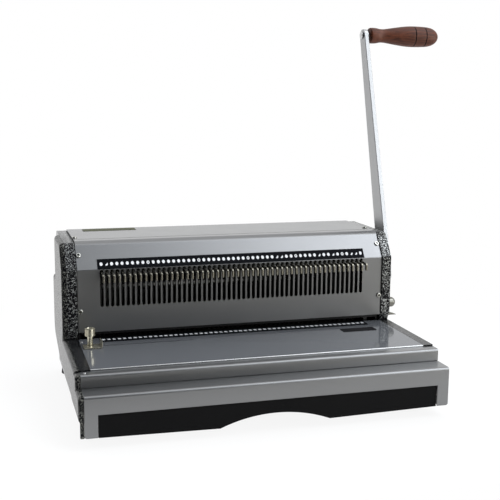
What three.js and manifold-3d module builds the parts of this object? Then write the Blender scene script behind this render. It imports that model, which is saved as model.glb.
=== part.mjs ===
// Hand-operated coil punch: a lever press with a row of punches, each with a pull tab,
// a paper table, an edge guide, a depth knob and a chip drawer.
// Millimetres. X runs along the punch row, +Y to the back, +Z up, floor at Z = 0.

import * as THREE from 'three';
import { mergeVertices, mergeGeometries } from 'three/addons/utils/BufferGeometryUtils.js';
import Module from 'manifold-3d';

const wasm = await Module();
wasm.setup();

// Clearances and allowances shared by all pieces
const GAP = 0.3;              // between pieces that are seated on each other
const SLIDE = 0.5;            // between a moving piece and what guides it
const OVERRUN = 2;            // how far a cutting tool passes a face
const JOIN = 1;               // how far two joined shapes run into each other
const WELD = 1e-5;            // corners closer than this are one
const SHEET = 1.5;            // folded sheet thickness

// Facets of round pieces
const SIDES = 16;
const SCREW_SIDES = 8;
const PUNCH_SIDES = 6;
const HEX_SIDES = 6;

// Punch row
const PITCH = 6.35;           // punch to punch
const PUNCHES = 54;
const PUNCH_R = 2;
const ROW_HALF = PITCH * (PUNCHES - 1) / 2;
const SINGLE_TABS = [2, 36, 37, 45, 48, 52, 53];   // the tabs pulled for the usual paper sizes

// Widths
const END_MARGIN = 29.7;      // last punch to the end of the cover
const COVER_HALF = ROW_HALF + END_MARGIN;
const INNER_HALF = COVER_HALF - GAP;   // sheets that fit between the side casings
const CASE_T = 12;            // side casing thickness
const CASE_WALL = 3.5;        // casing wall round its inner pocket
const CASE_OUT = COVER_HALF + CASE_T;
const OUTER_T = 6;            // extra cover on the left casing
const OUTER_BEVEL = 4.8;
const OUTER_EDGE_SHARE = 0.25;   // of the bevel, where its two facets meet

// Feet and base
const FOOT_H = 13;
const FOOT_R = 9;
const FOOT_TOP_R = 7.5;
const FOOT_INSET = 0.6;       // from the casing's outer face
const FOOT_FRONT_Y = 56;
const FOOT_REAR_IN = 22;      // rear foot's middle to the rear cover
const BASE_Z = FOOT_H + GAP;
const BASE_T = 2;
const BASE_FRONT_Y = 70;

// Front fascia and rail, two steps up from the fascia's face at Y = 0
const FASCIA_H = 45.6;
const FASCIA_TOP = FOOT_H + FASCIA_H;
const FASCIA_ROUND = 3;
const RAIL_Y = 28.5;
const RAIL_H = 14.4;
const RAIL_TOP = FASCIA_TOP + RAIL_H;
const RAIL_ROUND = 3;
const RAIL_LEDGE = 15;        // rail face to table edge
const RAIL_LIP = 9;           // rail flange that goes under the table
const FOLD_STEPS = 3;

// Paper table
const TABLE_Y = RAIL_Y + RAIL_LEDGE;
const TABLE_STEP = 1.6;       // above the rail
const TABLE_TOP = RAIL_TOP + TABLE_STEP;
const TABLE_T = 2;
const TABLE_FLANGE = 12;
const TABLE_DEPTH = 125.5;    // up to the cover's face

// Cover
const FACE_Y = TABLE_Y + TABLE_DEPTH;
const MOUTH_H = 8.4;          // paper mouth, from the table to the cover
const COVER_BOTTOM = TABLE_TOP + MOUTH_H;
const FACE_H = 76.5;
const FOLD_Z = COVER_BOTTOM + FACE_H;
const FACE_LEAN = 35.7 * Math.PI / 180;
const SLOPE_H = 31.5;
const COVER_TOP = FOLD_Z + SLOPE_H;
const COVER_DEPTH = 135;
const COVER_REAR = FACE_Y + COVER_DEPTH;
const BEND_R = 11;
const BEND_STEPS = 4;
const REAR_BEND_R = 10;
const REAR_BEND_STEPS = 3;
const REAR_LAP = 4;           // straight edge below the rear bend
const REAR_EDGE = COVER_TOP - REAR_BEND_R - REAR_LAP;
const SLOT_W = 4;
const SLOT_LENGTH = 46;
const SLOT_END_STEPS = 3;

// Casing outline
const CASE_PROUD = 2;         // in front of the cover's face
const CASE_LOW = 1.5;         // below the cover's top
const CASE_FRONT_Y = FACE_Y - CASE_PROUD;
const CASE_TOP = COVER_TOP - CASE_LOW;
const CASE_FOLD_Z = FOLD_Z + CASE_PROUD * Math.tan(FACE_LEAN / 2);
const CASE_BEND_R = 11;
const CASE_BEND_STEPS = 4;
const CASE_POCKET_LOW = 26;   // roof of its pocket, below its top
const CASE_REAR_ROUND = 8.5;
const CASE_REAR_STEPS = 3;
const CASE_NOTCH = 6;         // slope from the table up to the casing's front
const CASE_NOTCH_H = 12;

// Lower edge and rear edge of the outer cover, which leave the left feet in view
const OUTER_LOW_FRONT = 29.5;
const OUTER_LOW = 35.5;
const OUTER_LOW_Y = 76;       // where the lower edge steps up
const OUTER_LOW_STEP = 10;    // length of that slanting step
const OUTER_RISE_Y = 222;     // where the lower edge starts to rise to the rear
const OUTER_RISE = 14.5 * Math.PI / 180;
const OUTER_TURN_R = 22;
const OUTER_TURN_STEPS = 5;
const OUTER_REAR_IN = 7;      // its rear edge to the rear cover, low down
const OUTER_HIGH_IN = 38;     // and above the step
const OUTER_STEP_Z = 134;
const OUTER_HIGH_ROUND = 8;
const OUTER_POST_W = 4.2;     // post at its front corner, down to the base
const OUTER_POST_D = 3;

// Strips
const STRIP_T = 0.5;
const STRIP_H = 13.4;
const STRIP_END = 4.5;        // strip past the last punch
const STRIP_LIFT = 0.3;       // strip above the fold
const DOT_STRIP_FRONT = 18;   // its front edge to the cover's face
const DOT_STRIP_DEPTH = 17;

// Guide slot in the table
const GUIDE_SLOT_FRONT = 33;  // slot line to the cover's face
const GUIDE_SLOT_Y = FACE_Y - GUIDE_SLOT_FRONT;
const GUIDE_SLOT_W = 3.6;
const GUIDE_SLOT_START = 4;   // from the table's left edge
const GUIDE_SLOT_LENGTH = 130;

// Screws
const SCREW_HEAD_R = 3;
const SCREW_HEAD_H = 1.6;
const SCREW_R = 1.5;
const SCREW_L = 4;
const SCREW_IN = 3.6;         // from the cover's end
const SCREW_LOW = 26;         // above the cover's bottom edge
const SCREW_HIGH = 20;        // up the sloping face from the fold
const SCREW_TOP_IN = 83;      // from the rear cover
const SCREW_ROOM = 2;         // behind a screw's end

// Press
const PUNCH_BACK = 15;        // punch line behind the cover's face
const PUNCH_Y = FACE_Y + PUNCH_BACK;
const PIVOT_BACK = 21;        // pivot behind the punch line
const PIVOT_DROP = 27.5;      // pivot below the fold
const PIVOT_Y = PUNCH_Y + PIVOT_BACK;
const PIVOT_Z = FOLD_Z - PIVOT_DROP;
const SHAFT_R = 7;
const SHAFT_END_R = 6;
const BUSH_T = 1.4;
const BUSH_R = SHAFT_R + GAP + BUSH_T;
const BUSH_PROUD = 2;         // inside the frame plate
const GEAR_MODULE = 1.2;
const GEAR_TEETH = 20;
const GEAR_W = 7;
const GEAR_R = GEAR_MODULE * GEAR_TEETH / 2;
const PRESSURE = 20 * Math.PI / 180;
const BACKLASH = 0.36;
const ADDENDUM_SHARE = 0.85;  // tooth height above the pitch line, in modules
const DEDENDUM_SHARE = 1.25;  // tooth depth below it, in modules

// Frame plates
const FRAME_T = 3;
const FRAME_OUT = COVER_HALF - SHEET;
const FRAME_IN = FRAME_OUT - FRAME_T;
const FRAME_BACK = 6;         // behind the cover's face
const FRAME_FRONT = FACE_Y + FRAME_BACK;
const FRAME_DEPTH = 62;
const FRAME_OVER = 10.5;      // above the fold
const FRAME_TOP = FOLD_Z + FRAME_OVER;

// Dies and punch guide
const DIE_FRONT = FACE_Y + SHEET + GAP;
const DIE_TOP = TABLE_TOP - GAP;
const DIE_T = 10;
const DIE_DEPTH = 27;
const THROAT = 5.4;           // paper gap between the die and the guide
const GUIDE_BOTTOM = DIE_TOP + THROAT;
const GUIDE_T = 10;
const GUIDE_TOP = GUIDE_BOTTOM + GUIDE_T;
const PUNCH_UP = 1;           // punch ends above the guide's underside
const HOLE_R = PUNCH_R + GAP;
const HEAD_DEPTH = 8;
const HEAD_H = 5.5;

// Pull tabs
const TAB_T = 2;
const TAB_H = 3.4;
const TAB_UNDER = 2.3;        // below the fold
const TAB_TOP = FOLD_Z - TAB_UNDER;
const TAB_LOW = TAB_TOP - TAB_H;
const TAB_REACH = 19;         // in front of the cover face
const TAB_DROP = 7.4;         // turned-down tip, below the arm
const TAB_TIP = 3.6;
const TAB_FALL = 1.6;         // arm slopes down to the tip
const TAB_PULL = 6;           // travel that brings a tab's end to the punch line
const TAB_RAIL = 3;           // bar that joins the tabs behind the face

// Beam, guide rods and racks
const BEAM_Z = TAB_TOP + GAP;
const BEAM_H = 12;
const BEAM_BEFORE = 3.5;      // in front of the punch line
const BEAM_DEPTH = 15.5;
const BEAM_FRONT = PUNCH_Y - BEAM_BEFORE;
const BEAM_BACK = BEAM_FRONT + BEAM_DEPTH;
const BEAM_END = 2.5;         // beam end to the frame plate
const ROD_R = 4;
const ROD_BACK = 6.5;         // behind the punch line
const ROD_Y = PUNCH_Y + ROD_BACK;
const ROD_IN = 6.5;           // guide rod centre to the frame plate
const ROD_X = FRAME_IN - ROD_IN;
const ROD_OVER = 5.5;         // above the beam
const GEAR_IN = 13.5;         // gear's outer face to the frame plate
const RACK_BACK = 6;
const RACK_TEETH_DOWN = 2;

// Lever
const LEVER_GAP = 6;          // casing to lever
const LEVER_T = 6;
const LEVER_IN = CASE_OUT + LEVER_GAP;
const LEVER_OUT = LEVER_IN + LEVER_T;
const LEVER_LENGTH = 332;
const LEVER_LEAN = 16.5 * Math.PI / 180;
const LEVER_ROOT_R = 15.5;
const LEVER_TIP_R = 8.4;
const LEVER_ARC_STEPS = 8;
const HUB_R = 14;
const BOLT_R = 8;             // low flat head
const BOLT_H = 2.2;
const BOLT_TOP_SHARE = 0.8;   // of its radius, inside its chamfer

// Grip; each table row is a share of its length, then a share of the radius named with it
const GRIP_GAP = 3.4;         // lever to grip
const GRIP_LENGTH = 106;
const GRIP_COLLAR_R = 10.8;
const GRIP_NECK_R = 9.2;
const GRIP_BELLY_R = 14.5;
const GRIP_END_R = 11.5;
const GRIP_GROOVE = 0.9;
const COLLAR_SHARES = [[0, 0.86], [0.02, 1], [0.1, 0.98]];
const NECK_SHARES = [[0.17, 1], [0.25, 1.1]];
const BELLY_SHARES = [[0.42, 0.85], [0.62, 1], [0.65, 1], [0.775, 0.98], [0.805, 0.97]];
const GROOVE_SHARES = [[0.634, 1], [0.789, 0.97]];
const END_SHARES = [[0.91, 1], [0.98, 0.55]];
const STUD_R = 3;
const STUD_HEAD_R = 5;
const STUD_HEAD_T = 2;
const STUD_IN = 60;           // stud length inside the grip

// Edge guide
const GUIDE_SCREW_IN = 10.7;  // its screw, from the cover's left end
const GUIDE_L = 21.6;
const GUIDE_D = 17;
const GUIDE_PLATE_T = 1.6;
const GUIDE_BACK = 4;         // plate behind the screw
const GUIDE_SIDE = 8.3;       // plate left of the screw
const FENCE_T = 2.4;
const FENCE_H = 8.2;
const THUMB_STEM_R = 3.2;
const THUMB_STEM_H = 11;
const THUMB_R = 6;
const THUMB_H = 8.6;
const THUMB_KNURLS = 16;
const KNURL_DEPTH = 0.4;
const SHANK_R = 1.5;
const NUT_R = 4;
const NUT_T = 3;

// Depth knob and back gauge
const KNOB_BEFORE = 1;        // knob axis in front of the punch line
const KNOB_RISE = 5.7;        // knob axis above the punch guide
const KNOB_Y = PUNCH_Y - KNOB_BEFORE;
const KNOB_Z = GUIDE_TOP + KNOB_RISE;
const KNOB_R = 6.6;
const KNOB_L = 14;
const KNOB_GRIP_SHARE = 0.7;  // knurled part of the knob's length
const DOME_SHARES = [[0.6, 0.93], [0.7, 0.93], [0.9, 0.75], [1, 0.3]];   // of its length and radius
const KNOB_SHAFT_R = 2.5;
const KNOB_KNURLS = 14;
const DEPTH_MODULE = 0.8;
const DEPTH_TEETH = 12;
const DEPTH_R = DEPTH_MODULE * DEPTH_TEETH / 2;
const DEPTH_W = 5;
const DEPTH_IN = 11;          // small gear's outer face to the frame plate
const DEPTH_SWING = 40 * Math.PI / 180;
const GAUGE_TRAVEL = DEPTH_R * DEPTH_SWING;
const GAUGE_BACK = 6;         // behind the punch line
const GAUGE_Y = PUNCH_Y + GAUGE_BACK;
const GAUGE_T = 3;
const GAUGE_END = 12;         // gauge bar past the last punch
const GAUGE_TEETH = 2;        // rack teeth each way from the knob's axis
const RISER_BEFORE = 5;       // riser in front of the knob's axis
const RISER_FRONT = KNOB_Y - RISER_BEFORE;
const RISER_TOP = KNOB_Z - DEPTH_R - DEDENDUM_SHARE * DEPTH_MODULE;
const POINTER_OVER = 1.7;     // above the cover's bottom edge
const POINTER_BEFORE = 7;     // in front of the knob's axis
const POINTER_L = 13.5;
const POINTER_W = 5;
const POINTER_H = 5.5;        // at the casing
const POINTER_TIP = 0.8;

// Drawer
const DRAWER_IN = 14.6;       // panel end to the casing's outer face
const DRAWER_HALF = CASE_OUT - DRAWER_IN;
const DRAWER_LOW = 0.6;       // below the fascia
const DRAWER_H = 25;
const DRAWER_BOTTOM = FOOT_H - DRAWER_LOW;
const DRAWER_TOP = DRAWER_BOTTOM + DRAWER_H;
const DRAWER_FRONT_T = 3;
const DRAWER_RECESS = 1.6;    // panel behind the fascia face
const DRAWER_BACK = DRAWER_RECESS + DRAWER_FRONT_T;
const ARCH_HALF = 63.5;
const ARCH_H = 12.4;
const ARCH_SAG = 2.4;         // the panel's lower edge falls this much to the arch
const ARCH_STEPS = 12;
const TRAY_IN = 8.4;          // tray side to the panel's end
const TRAY_HALF = DRAWER_HALF - TRAY_IN;
const TRAY_LIP = 0.8;         // tray rim below the panel's top
const TRAY_H = 11.1;
const TRAY_TOP = DRAWER_TOP - TRAY_LIP;
const TRAY_BOTTOM = TRAY_TOP - TRAY_H;
const TRAY_WALL = 2;
const TRAY_BEHIND = 20;       // tray behind the punch line
const TRAY_REAR = PUNCH_Y + TRAY_BEHIND;
const TRAY_FLANGE = 4;
const RUNNER_T = 2;
const RUNNER_H = 9;
const RUNNER_SHORT = 5;       // runner end in front of the frame plates

const AXIS_X = new THREE.Vector3(1, 0, 0);
const AXIS_Y = new THREE.Vector3(0, 1, 0);
const AXIS_Z = new THREE.Vector3(0, 0, 1);
const BOTH = [-1, 1];         // left, then right

// Finishes
function finish(color, roughness, metalness) {
  return new THREE.MeshStandardMaterial({ color, roughness, metalness });
}

const SILVER = finish(0xb4b6ba, 0.38, 0.6);
const HAMMER = finish(0x2b2c2e, 0.5, 0.3);
const BLACK = finish(0x161616, 0.5, 0);
const FILM = finish(0x121314, 0.45, 0);
const STEEL = finish(0x8f9296, 0.35, 0.9);
const DARK_STEEL = finish(0x55585c, 0.4, 0.85);
const BRASS = finish(0xa89a72, 0.35, 0.85);
const RUBBER = finish(0x111111, 0.9, 0);
const WOOD = finish(0x6b3324, 0.45, 0);

const group = new THREE.Group();

// Geometry with only its positions, and its shared corners merged
function bare(geometry) {
  geometry.deleteAttribute('normal');
  geometry.deleteAttribute('uv');
  return mergeVertices(geometry, WELD);
}

function solid(geometry) {
  const merged = bare(geometry.clone());
  const vertProperties = new Float32Array(merged.attributes.position.array);
  const triVerts = new Uint32Array(merged.index.array);
  return new wasm.Manifold(new wasm.Mesh({ numProp: 3, vertProperties, triVerts }));
}

function geometryOf(manifold) {
  const mesh = manifold.getMesh();
  const geometry = new THREE.BufferGeometry();
  geometry.setAttribute('position', new THREE.BufferAttribute(new Float32Array(mesh.vertProperties), 3));
  geometry.setIndex(new THREE.BufferAttribute(new Uint32Array(mesh.triVerts), 1));
  return geometry;
}

function joined(...geometries) {
  return geometryOf(geometries.map(solid).reduce((whole, piece) => whole.add(piece)));
}

function cutFrom(geometry, ...tools) {
  return geometryOf(tools.map(solid).reduce((whole, tool) => whole.subtract(tool), solid(geometry)));
}

// Two numbers in rising order
function span(a, b) {
  return a < b ? [a, b] : [b, a];
}

function sideName(side) {
  return side > 0 ? 'right' : 'left';
}

function extruded(points, depth) {
  const shape = new THREE.Shape(points.map(([u, v]) => new THREE.Vector2(u, v)));
  return new THREE.ExtrudeGeometry(shape, { depth, bevelEnabled: false, steps: 1, curveSegments: 1 });
}

// An outline in Y and Z, drawn out along X
function alongX(points, x0, x1) {
  const geometry = extruded(points, x1 - x0);
  geometry.applyMatrix4(new THREE.Matrix4().makeBasis(AXIS_Y, AXIS_Z, AXIS_X));
  return geometry.translate(x0, 0, 0);
}

// An outline in X and Z, drawn out along Y
function alongY(points, y0, y1) {
  const geometry = extruded(points, y1 - y0);
  geometry.applyMatrix4(new THREE.Matrix4().makeBasis(AXIS_X, AXIS_Z, AXIS_Y.clone().negate()));
  return geometry.translate(0, y1, 0);
}

function block(x0, x1, y0, y1, z0, z1) {
  const geometry = new THREE.BoxGeometry(x1 - x0, y1 - y0, z1 - z0);
  return geometry.translate((x0 + x1) / 2, (y0 + y1) / 2, (z0 + z1) / 2);
}

// The same block on the left and on the right, from one distance off the middle to another
function sideBlocks(x0, x1, ...rest) {
  return BOTH.map((side) => block(...span(side * x0, side * x1), ...rest));
}

function rodX(radius, x0, x1, y, z, sides = SIDES) {
  const geometry = new THREE.CylinderGeometry(radius, radius, x1 - x0, sides).rotateZ(Math.PI / 2);
  return geometry.translate((x0 + x1) / 2, y, z);
}

function rodZ(radius, x, y, z0, z1, sides = SIDES) {
  const geometry = new THREE.CylinderGeometry(radius, radius, z1 - z0, sides).rotateX(Math.PI / 2);
  return geometry.translate(x, y, (z0 + z1) / 2);
}

// A profile of [distance along the axis, radius], turned about the lathe's own axis
function turned(profile, sides) {
  return new THREE.LatheGeometry(profile.map(([along, r]) => new THREE.Vector2(r, along)), sides);
}

function turnedX(profile, sides) {
  return turned(profile, sides).rotateZ(-Math.PI / 2);
}

function turnedZ(profile, sides) {
  return turned(profile, sides).rotateX(Math.PI / 2);
}

function arc(cy, cz, radius, from, to, steps) {
  return Array.from({ length: steps + 1 }, (_, i) => {
    const angle = from + (to - from) * i / steps;
    return [cy + radius * Math.cos(angle), cz + radius * Math.sin(angle)];
  });
}

// A line of points moved sideways by a distance, with mitred corners
function offsetLine(points, distance, closed = false) {
  const count = points.length;
  return points.map((point, i) => {
    const before = points[closed ? (i + count - 1) % count : Math.max(i - 1, 0)];
    const after = points[closed ? (i + 1) % count : Math.min(i + 1, count - 1)];
    const first = new THREE.Vector2(point[0] - before[0], point[1] - before[1]);
    const second = new THREE.Vector2(after[0] - point[0], after[1] - point[1]);
    if (first.length() === 0) first.copy(second);
    if (second.length() === 0) second.copy(first);
    first.normalize();
    second.normalize();
    const side = new THREE.Vector2(-first.y - second.y, first.x + second.x).normalize();
    const reach = distance / (side.x * -first.y + side.y * first.x);
    return [point[0] + side.x * reach, point[1] + side.y * reach];
  });
}

// The section of a folded sheet: the line and the same line one thickness to its right
function sheetSection(line) {
  return [...line, ...offsetLine(line, -SHEET).reverse()];
}

// Walls between equal outlines at several X places, closed at both ends
function loftX(outlines, places) {
  const count = outlines[0].length;
  const position = [];
  outlines.forEach((outline, k) => outline.forEach(([y, z]) => position.push(places[k], y, z)));
  const index = [];
  for (let k = 0; k < outlines.length - 1; k += 1) {
    for (let i = 0; i < count; i += 1) {
      const a = k * count + i;
      const b = k * count + (i + 1) % count;
      index.push(a, b, b + count, a, b + count, a + count);
    }
  }
  const last = (outlines.length - 1) * count;
  const flat = (outline) => outline.map(([y, z]) => new THREE.Vector2(y, z));
  const capOf = (outline) => THREE.ShapeUtils.triangulateShape(flat(outline), []);
  capOf(outlines[0]).forEach(([a, b, c]) => index.push(a, c, b));
  capOf(outlines[outlines.length - 1]).forEach(([a, b, c]) => index.push(last + a, last + b, last + c));
  const geometry = new THREE.BufferGeometry();
  geometry.setAttribute('position', new THREE.Float32BufferAttribute(position, 3));
  geometry.setIndex(index);
  return geometry;
}

function add(name, geometry, material, parent = group) {
  const mesh = new THREE.Mesh(bare(geometry), material);
  mesh.name = name;
  parent.add(mesh);
  return mesh;
}

function punchX(number) {
  return (number - 1) * PITCH - ROW_HALF;
}

function everyPunch(make) {
  return Array.from({ length: PUNCHES }, (_, i) => make(punchX(i + 1), i + 1));
}

// Gear and rack teeth

function involute(angle) {
  return Math.tan(angle) - angle;
}

function gearOutline(module, teeth) {
  const pitch = module * teeth / 2;
  const root = pitch - DEDENDUM_SHARE * module;
  const tip = pitch + ADDENDUM_SHARE * module;
  const base = pitch * Math.cos(PRESSURE);
  const halfAt = (radius) => Math.PI / (2 * teeth) - BACKLASH / (2 * pitch) + involute(PRESSURE)
    - involute(Math.acos(Math.min(base / radius, 1)));
  const flank = [[root, halfAt(base)], [pitch, halfAt(pitch)], [tip, halfAt(tip)]];
  const points = [];
  for (let tooth = 0; tooth < teeth; tooth += 1) {
    const middle = 2 * Math.PI * tooth / teeth;
    const at = (r, angle) => points.push([r * Math.cos(angle), r * Math.sin(angle)]);
    flank.forEach(([r, half]) => at(r, middle - half));
    flank.toReversed().forEach(([r, half]) => at(r, middle + half));
  }
  return points;
}

// One side of a rack: the pitch line is at 0, teeth point to +v, with a gap centred on u = 0
function rackTeeth(module, from, to) {
  const step = Math.PI * module;
  const half = step / 4 - BACKLASH / 2;
  const up = ADDENDUM_SHARE * module;
  const down = DEDENDUM_SHARE * module;
  const lean = Math.tan(PRESSURE);
  const points = [];
  for (let tooth = from; tooth < to; tooth += 1) {
    const middle = tooth * step + step / 2;
    points.push([middle - half - down * lean, -down], [middle - half + up * lean, up]);
    points.push([middle + half - up * lean, up], [middle + half + down * lean, -down]);
  }
  return points;
}

// Side casings, feet and base

function upperFaceY(z) {
  return FACE_Y + (z - FOLD_Z) * Math.tan(FACE_LEAN);
}

// The step of the fascia and rail, as one line from the floor side up to the table
function frontSteps(inset) {
  return [
    [inset, FASCIA_TOP - FASCIA_ROUND],
    [FASCIA_ROUND, FASCIA_TOP - inset],
    [RAIL_Y + inset, FASCIA_TOP - inset],
    [RAIL_Y + inset, RAIL_TOP - RAIL_ROUND],
    [RAIL_Y + RAIL_ROUND, RAIL_TOP - inset],
    [TABLE_Y - GAP, RAIL_TOP - inset],
  ];
}

// Round bend between a face that leans back from (foldY, foldZ) and a level top
function topBend(foldY, foldZ, top, radius, steps) {
  const slopeEnd = foldY + (top - foldZ) * Math.tan(FACE_LEAN);
  const turn = Math.PI / 2 - FACE_LEAN;
  const centreY = slopeEnd + radius * Math.tan(turn / 2);
  return arc(centreY, top - radius, radius, Math.PI - FACE_LEAN, Math.PI / 2, steps);
}

// The casing's face stands a little in front of the cover, up its sloping part too
function frontAndTop(inset) {
  return [
    ...frontSteps(inset),
    [TABLE_Y - GAP, TABLE_TOP],
    [CASE_FRONT_Y + CASE_NOTCH, TABLE_TOP],
    [CASE_FRONT_Y, TABLE_TOP + CASE_NOTCH_H],
    [CASE_FRONT_Y, CASE_FOLD_Z],
    ...topBend(CASE_FRONT_Y, CASE_FOLD_Z, CASE_TOP, CASE_BEND_R, CASE_BEND_STEPS),
  ];
}

function casingOutline(inset) {
  const rearY = COVER_REAR - CASE_REAR_ROUND;
  const rearZ = CASE_TOP - CASE_REAR_ROUND;
  return [
    [inset, BASE_Z],
    ...frontAndTop(inset),
    ...arc(rearY, rearZ, CASE_REAR_ROUND, Math.PI / 2, 0, CASE_REAR_STEPS),
    [COVER_REAR, BASE_Z],
  ].reverse();
}

// The upper pocket holds the shaft's end, and the lower one lightens the foot of the casing
function casingPockets(x0, x1) {
  const rear = COVER_REAR - CASE_WALL;
  const upper = block(x0, x1, FRAME_FRONT, rear, TABLE_TOP, CASE_TOP - CASE_POCKET_LOW);
  const lower = block(x0, x1, BASE_FRONT_Y, rear, BASE_Z + CASE_WALL, TABLE_TOP - TABLE_FLANGE);
  return [upper, lower];
}

// The lever's shaft and the knob's shaft pass only through the right casing
function addCasing(side) {
  const inner = side * COVER_HALF;
  const outer = side * CASE_OUT;
  const whole = alongX(casingOutline(SHEET + GAP), ...span(inner, outer));
  const pockets = casingPockets(...span(inner - side * OVERRUN, outer - side * CASE_WALL));
  const through = span(inner - side * OVERRUN, outer + side * OVERRUN);
  const shaftHole = rodX(SHAFT_R + SLIDE, ...through, PIVOT_Y, PIVOT_Z);
  const knobHole = rodX(KNOB_SHAFT_R + SLIDE, ...through, KNOB_Y, KNOB_Z);
  const holes = side > 0 ? [shaftHole, knobHole] : [];
  add(`${sideName(side)}_side_casing`, cutFrom(whole, ...pockets, ...holes), HAMMER);
}

// The front and the top follow the casing; the lower edge rises to the rear
function outerOutline() {
  const high = COVER_REAR - OUTER_HIGH_IN;
  const low = COVER_REAR - OUTER_REAR_IN;
  const turnY = low - OUTER_TURN_R;
  const rise = (turnY - OUTER_RISE_Y) * Math.sin(OUTER_RISE);
  const turnZ = OUTER_LOW + (OUTER_TURN_R + rise) / Math.cos(OUTER_RISE);
  const round = OUTER_HIGH_ROUND;
  return [
    [0, OUTER_LOW_FRONT],
    ...frontAndTop(0),
    ...arc(high - round, CASE_TOP - round, round, Math.PI / 2, 0, CASE_REAR_STEPS),
    [high, OUTER_STEP_Z],
    [low, OUTER_STEP_Z],
    ...arc(turnY, turnZ, OUTER_TURN_R, 0, OUTER_RISE - Math.PI / 2, OUTER_TURN_STEPS),
    [OUTER_RISE_Y, OUTER_LOW],
    [OUTER_LOW_Y + OUTER_LOW_STEP, OUTER_LOW],
    [OUTER_LOW_Y, OUTER_LOW_FRONT],
  ].reverse();
}

function addOuterCover() {
  const outline = outerOutline();
  const face = offsetLine(outline, OUTER_BEVEL, true);
  const edge = OUTER_BEVEL * OUTER_EDGE_SHARE;
  const middle = offsetLine(outline, edge, true);
  const outer = -CASE_OUT - OUTER_T;
  const inner = -CASE_OUT - GAP;
  const shell = loftX([face, middle, outline, outline], [outer, outer + edge, outer + OUTER_BEVEL, inner]);
  const post = block(inner - OUTER_POST_W, inner, 0, OUTER_POST_D, BASE_Z, OUTER_LOW_FRONT + OUTER_BEVEL);
  add('left_outer_cover', joined(shell, post), HAMMER);
}

function addFeet() {
  const places = { front: FOOT_FRONT_Y, rear: COVER_REAR - FOOT_REAR_IN };
  const profile = [[0, 0], [0, FOOT_R], [FOOT_H, FOOT_TOP_R], [FOOT_H, 0]];
  for (const side of BOTH) {
    for (const [end, y] of Object.entries(places)) {
      const foot = add(`foot_${end}_${sideName(side)}`, turnedZ(profile, SIDES), RUBBER);
      foot.position.set(side * (CASE_OUT - FOOT_INSET - FOOT_R), y, 0);
    }
  }
}

function addBase() {
  const rear = COVER_REAR - SHEET - GAP;
  const plate = block(-INNER_HALF, INNER_HALF, BASE_FRONT_Y, rear, BASE_Z, BASE_Z + BASE_T);
  add('base_plate', plate, DARK_STEEL);
}

// Covers: a slotted face, folded back over the press, and a flat rear sheet

function coverLine() {
  const bend = topBend(FACE_Y, FOLD_Z, COVER_TOP, BEND_R, BEND_STEPS);
  const rearY = COVER_REAR - REAR_BEND_R;
  const rear = arc(rearY, COVER_TOP - REAR_BEND_R, REAR_BEND_R, Math.PI / 2, 0, REAR_BEND_STEPS);
  return [[FACE_Y, COVER_BOTTOM], [FACE_Y, FOLD_Z], ...bend, ...rear, [COVER_REAR, REAR_EDGE]];
}

function slotOutline(x) {
  const half = SLOT_W / 2;
  const end = arc(x, FOLD_Z - SLOT_LENGTH + half, half, Math.PI, 2 * Math.PI, SLOT_END_STEPS);
  return [[x + half, FOLD_Z], [x - half, FOLD_Z], ...end];
}

function addCovers() {
  const sheet = alongX(sheetSection(coverLine()), -INNER_HALF, INNER_HALF);
  const behind = FACE_Y + SHEET + OVERRUN;
  const slots = mergeGeometries(everyPunch((x) => alongY(slotOutline(x), FACE_Y - OVERRUN, behind)));
  add('top_cover', cutFrom(sheet, slots, ...screwHoles()), SILVER);
  const rear = COVER_REAR - SHEET;
  const back = block(-INNER_HALF, INNER_HALF, rear, COVER_REAR, BASE_Z, REAR_EDGE - GAP);
  add('rear_cover', back, SILVER);
}

// Screws: each has a name, the middle of its seat, and the way that its head faces

function screwPlaces() {
  const highZ = FOLD_Z + SCREW_HIGH * Math.cos(FACE_LEAN);
  const front = AXIS_Y.clone().negate();
  const slope = new THREE.Vector3(0, -Math.cos(FACE_LEAN), Math.sin(FACE_LEAN));
  return BOTH.flatMap((side) => {
    const x = side * (COVER_HALF - SCREW_IN);
    const name = `cover_screw_${sideName(side)}`;
    return [
      [`${name}_low`, new THREE.Vector3(x, FACE_Y, COVER_BOTTOM + SCREW_LOW), front],
      [`${name}_high`, new THREE.Vector3(x, upperFaceY(highZ), highZ), slope],
      [`${name}_top`, new THREE.Vector3(x, COVER_REAR - SCREW_TOP_IN, COVER_TOP), AXIS_Z],
    ];
  });
}

function placedAlong(geometry, place, direction) {
  const turn = new THREE.Quaternion().setFromUnitVectors(AXIS_Z, direction);
  return geometry.applyQuaternion(turn).translate(place.x, place.y, place.z);
}

function screwHoles() {
  return screwPlaces().map(([, place, out]) => {
    const tool = rodZ(SCREW_R + GAP, 0, 0, -SCREW_L, OVERRUN, SCREW_SIDES);
    return placedAlong(tool, place, out);
  });
}

function addScrews() {
  const top = GAP + SCREW_HEAD_H;
  const profile = [[GAP - SCREW_L, 0], [GAP - SCREW_L, SCREW_R], [GAP, SCREW_R], [GAP, SCREW_HEAD_R],
    [GAP + SCREW_HEAD_H / 2, SCREW_HEAD_R], [top, SCREW_HEAD_R / 2], [top, 0]];
  for (const [name, place, out] of screwPlaces()) {
    add(name, placedAlong(turnedZ(profile, SCREW_SIDES), place, out), STEEL);
  }
}

// Table, rail and fascia

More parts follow.
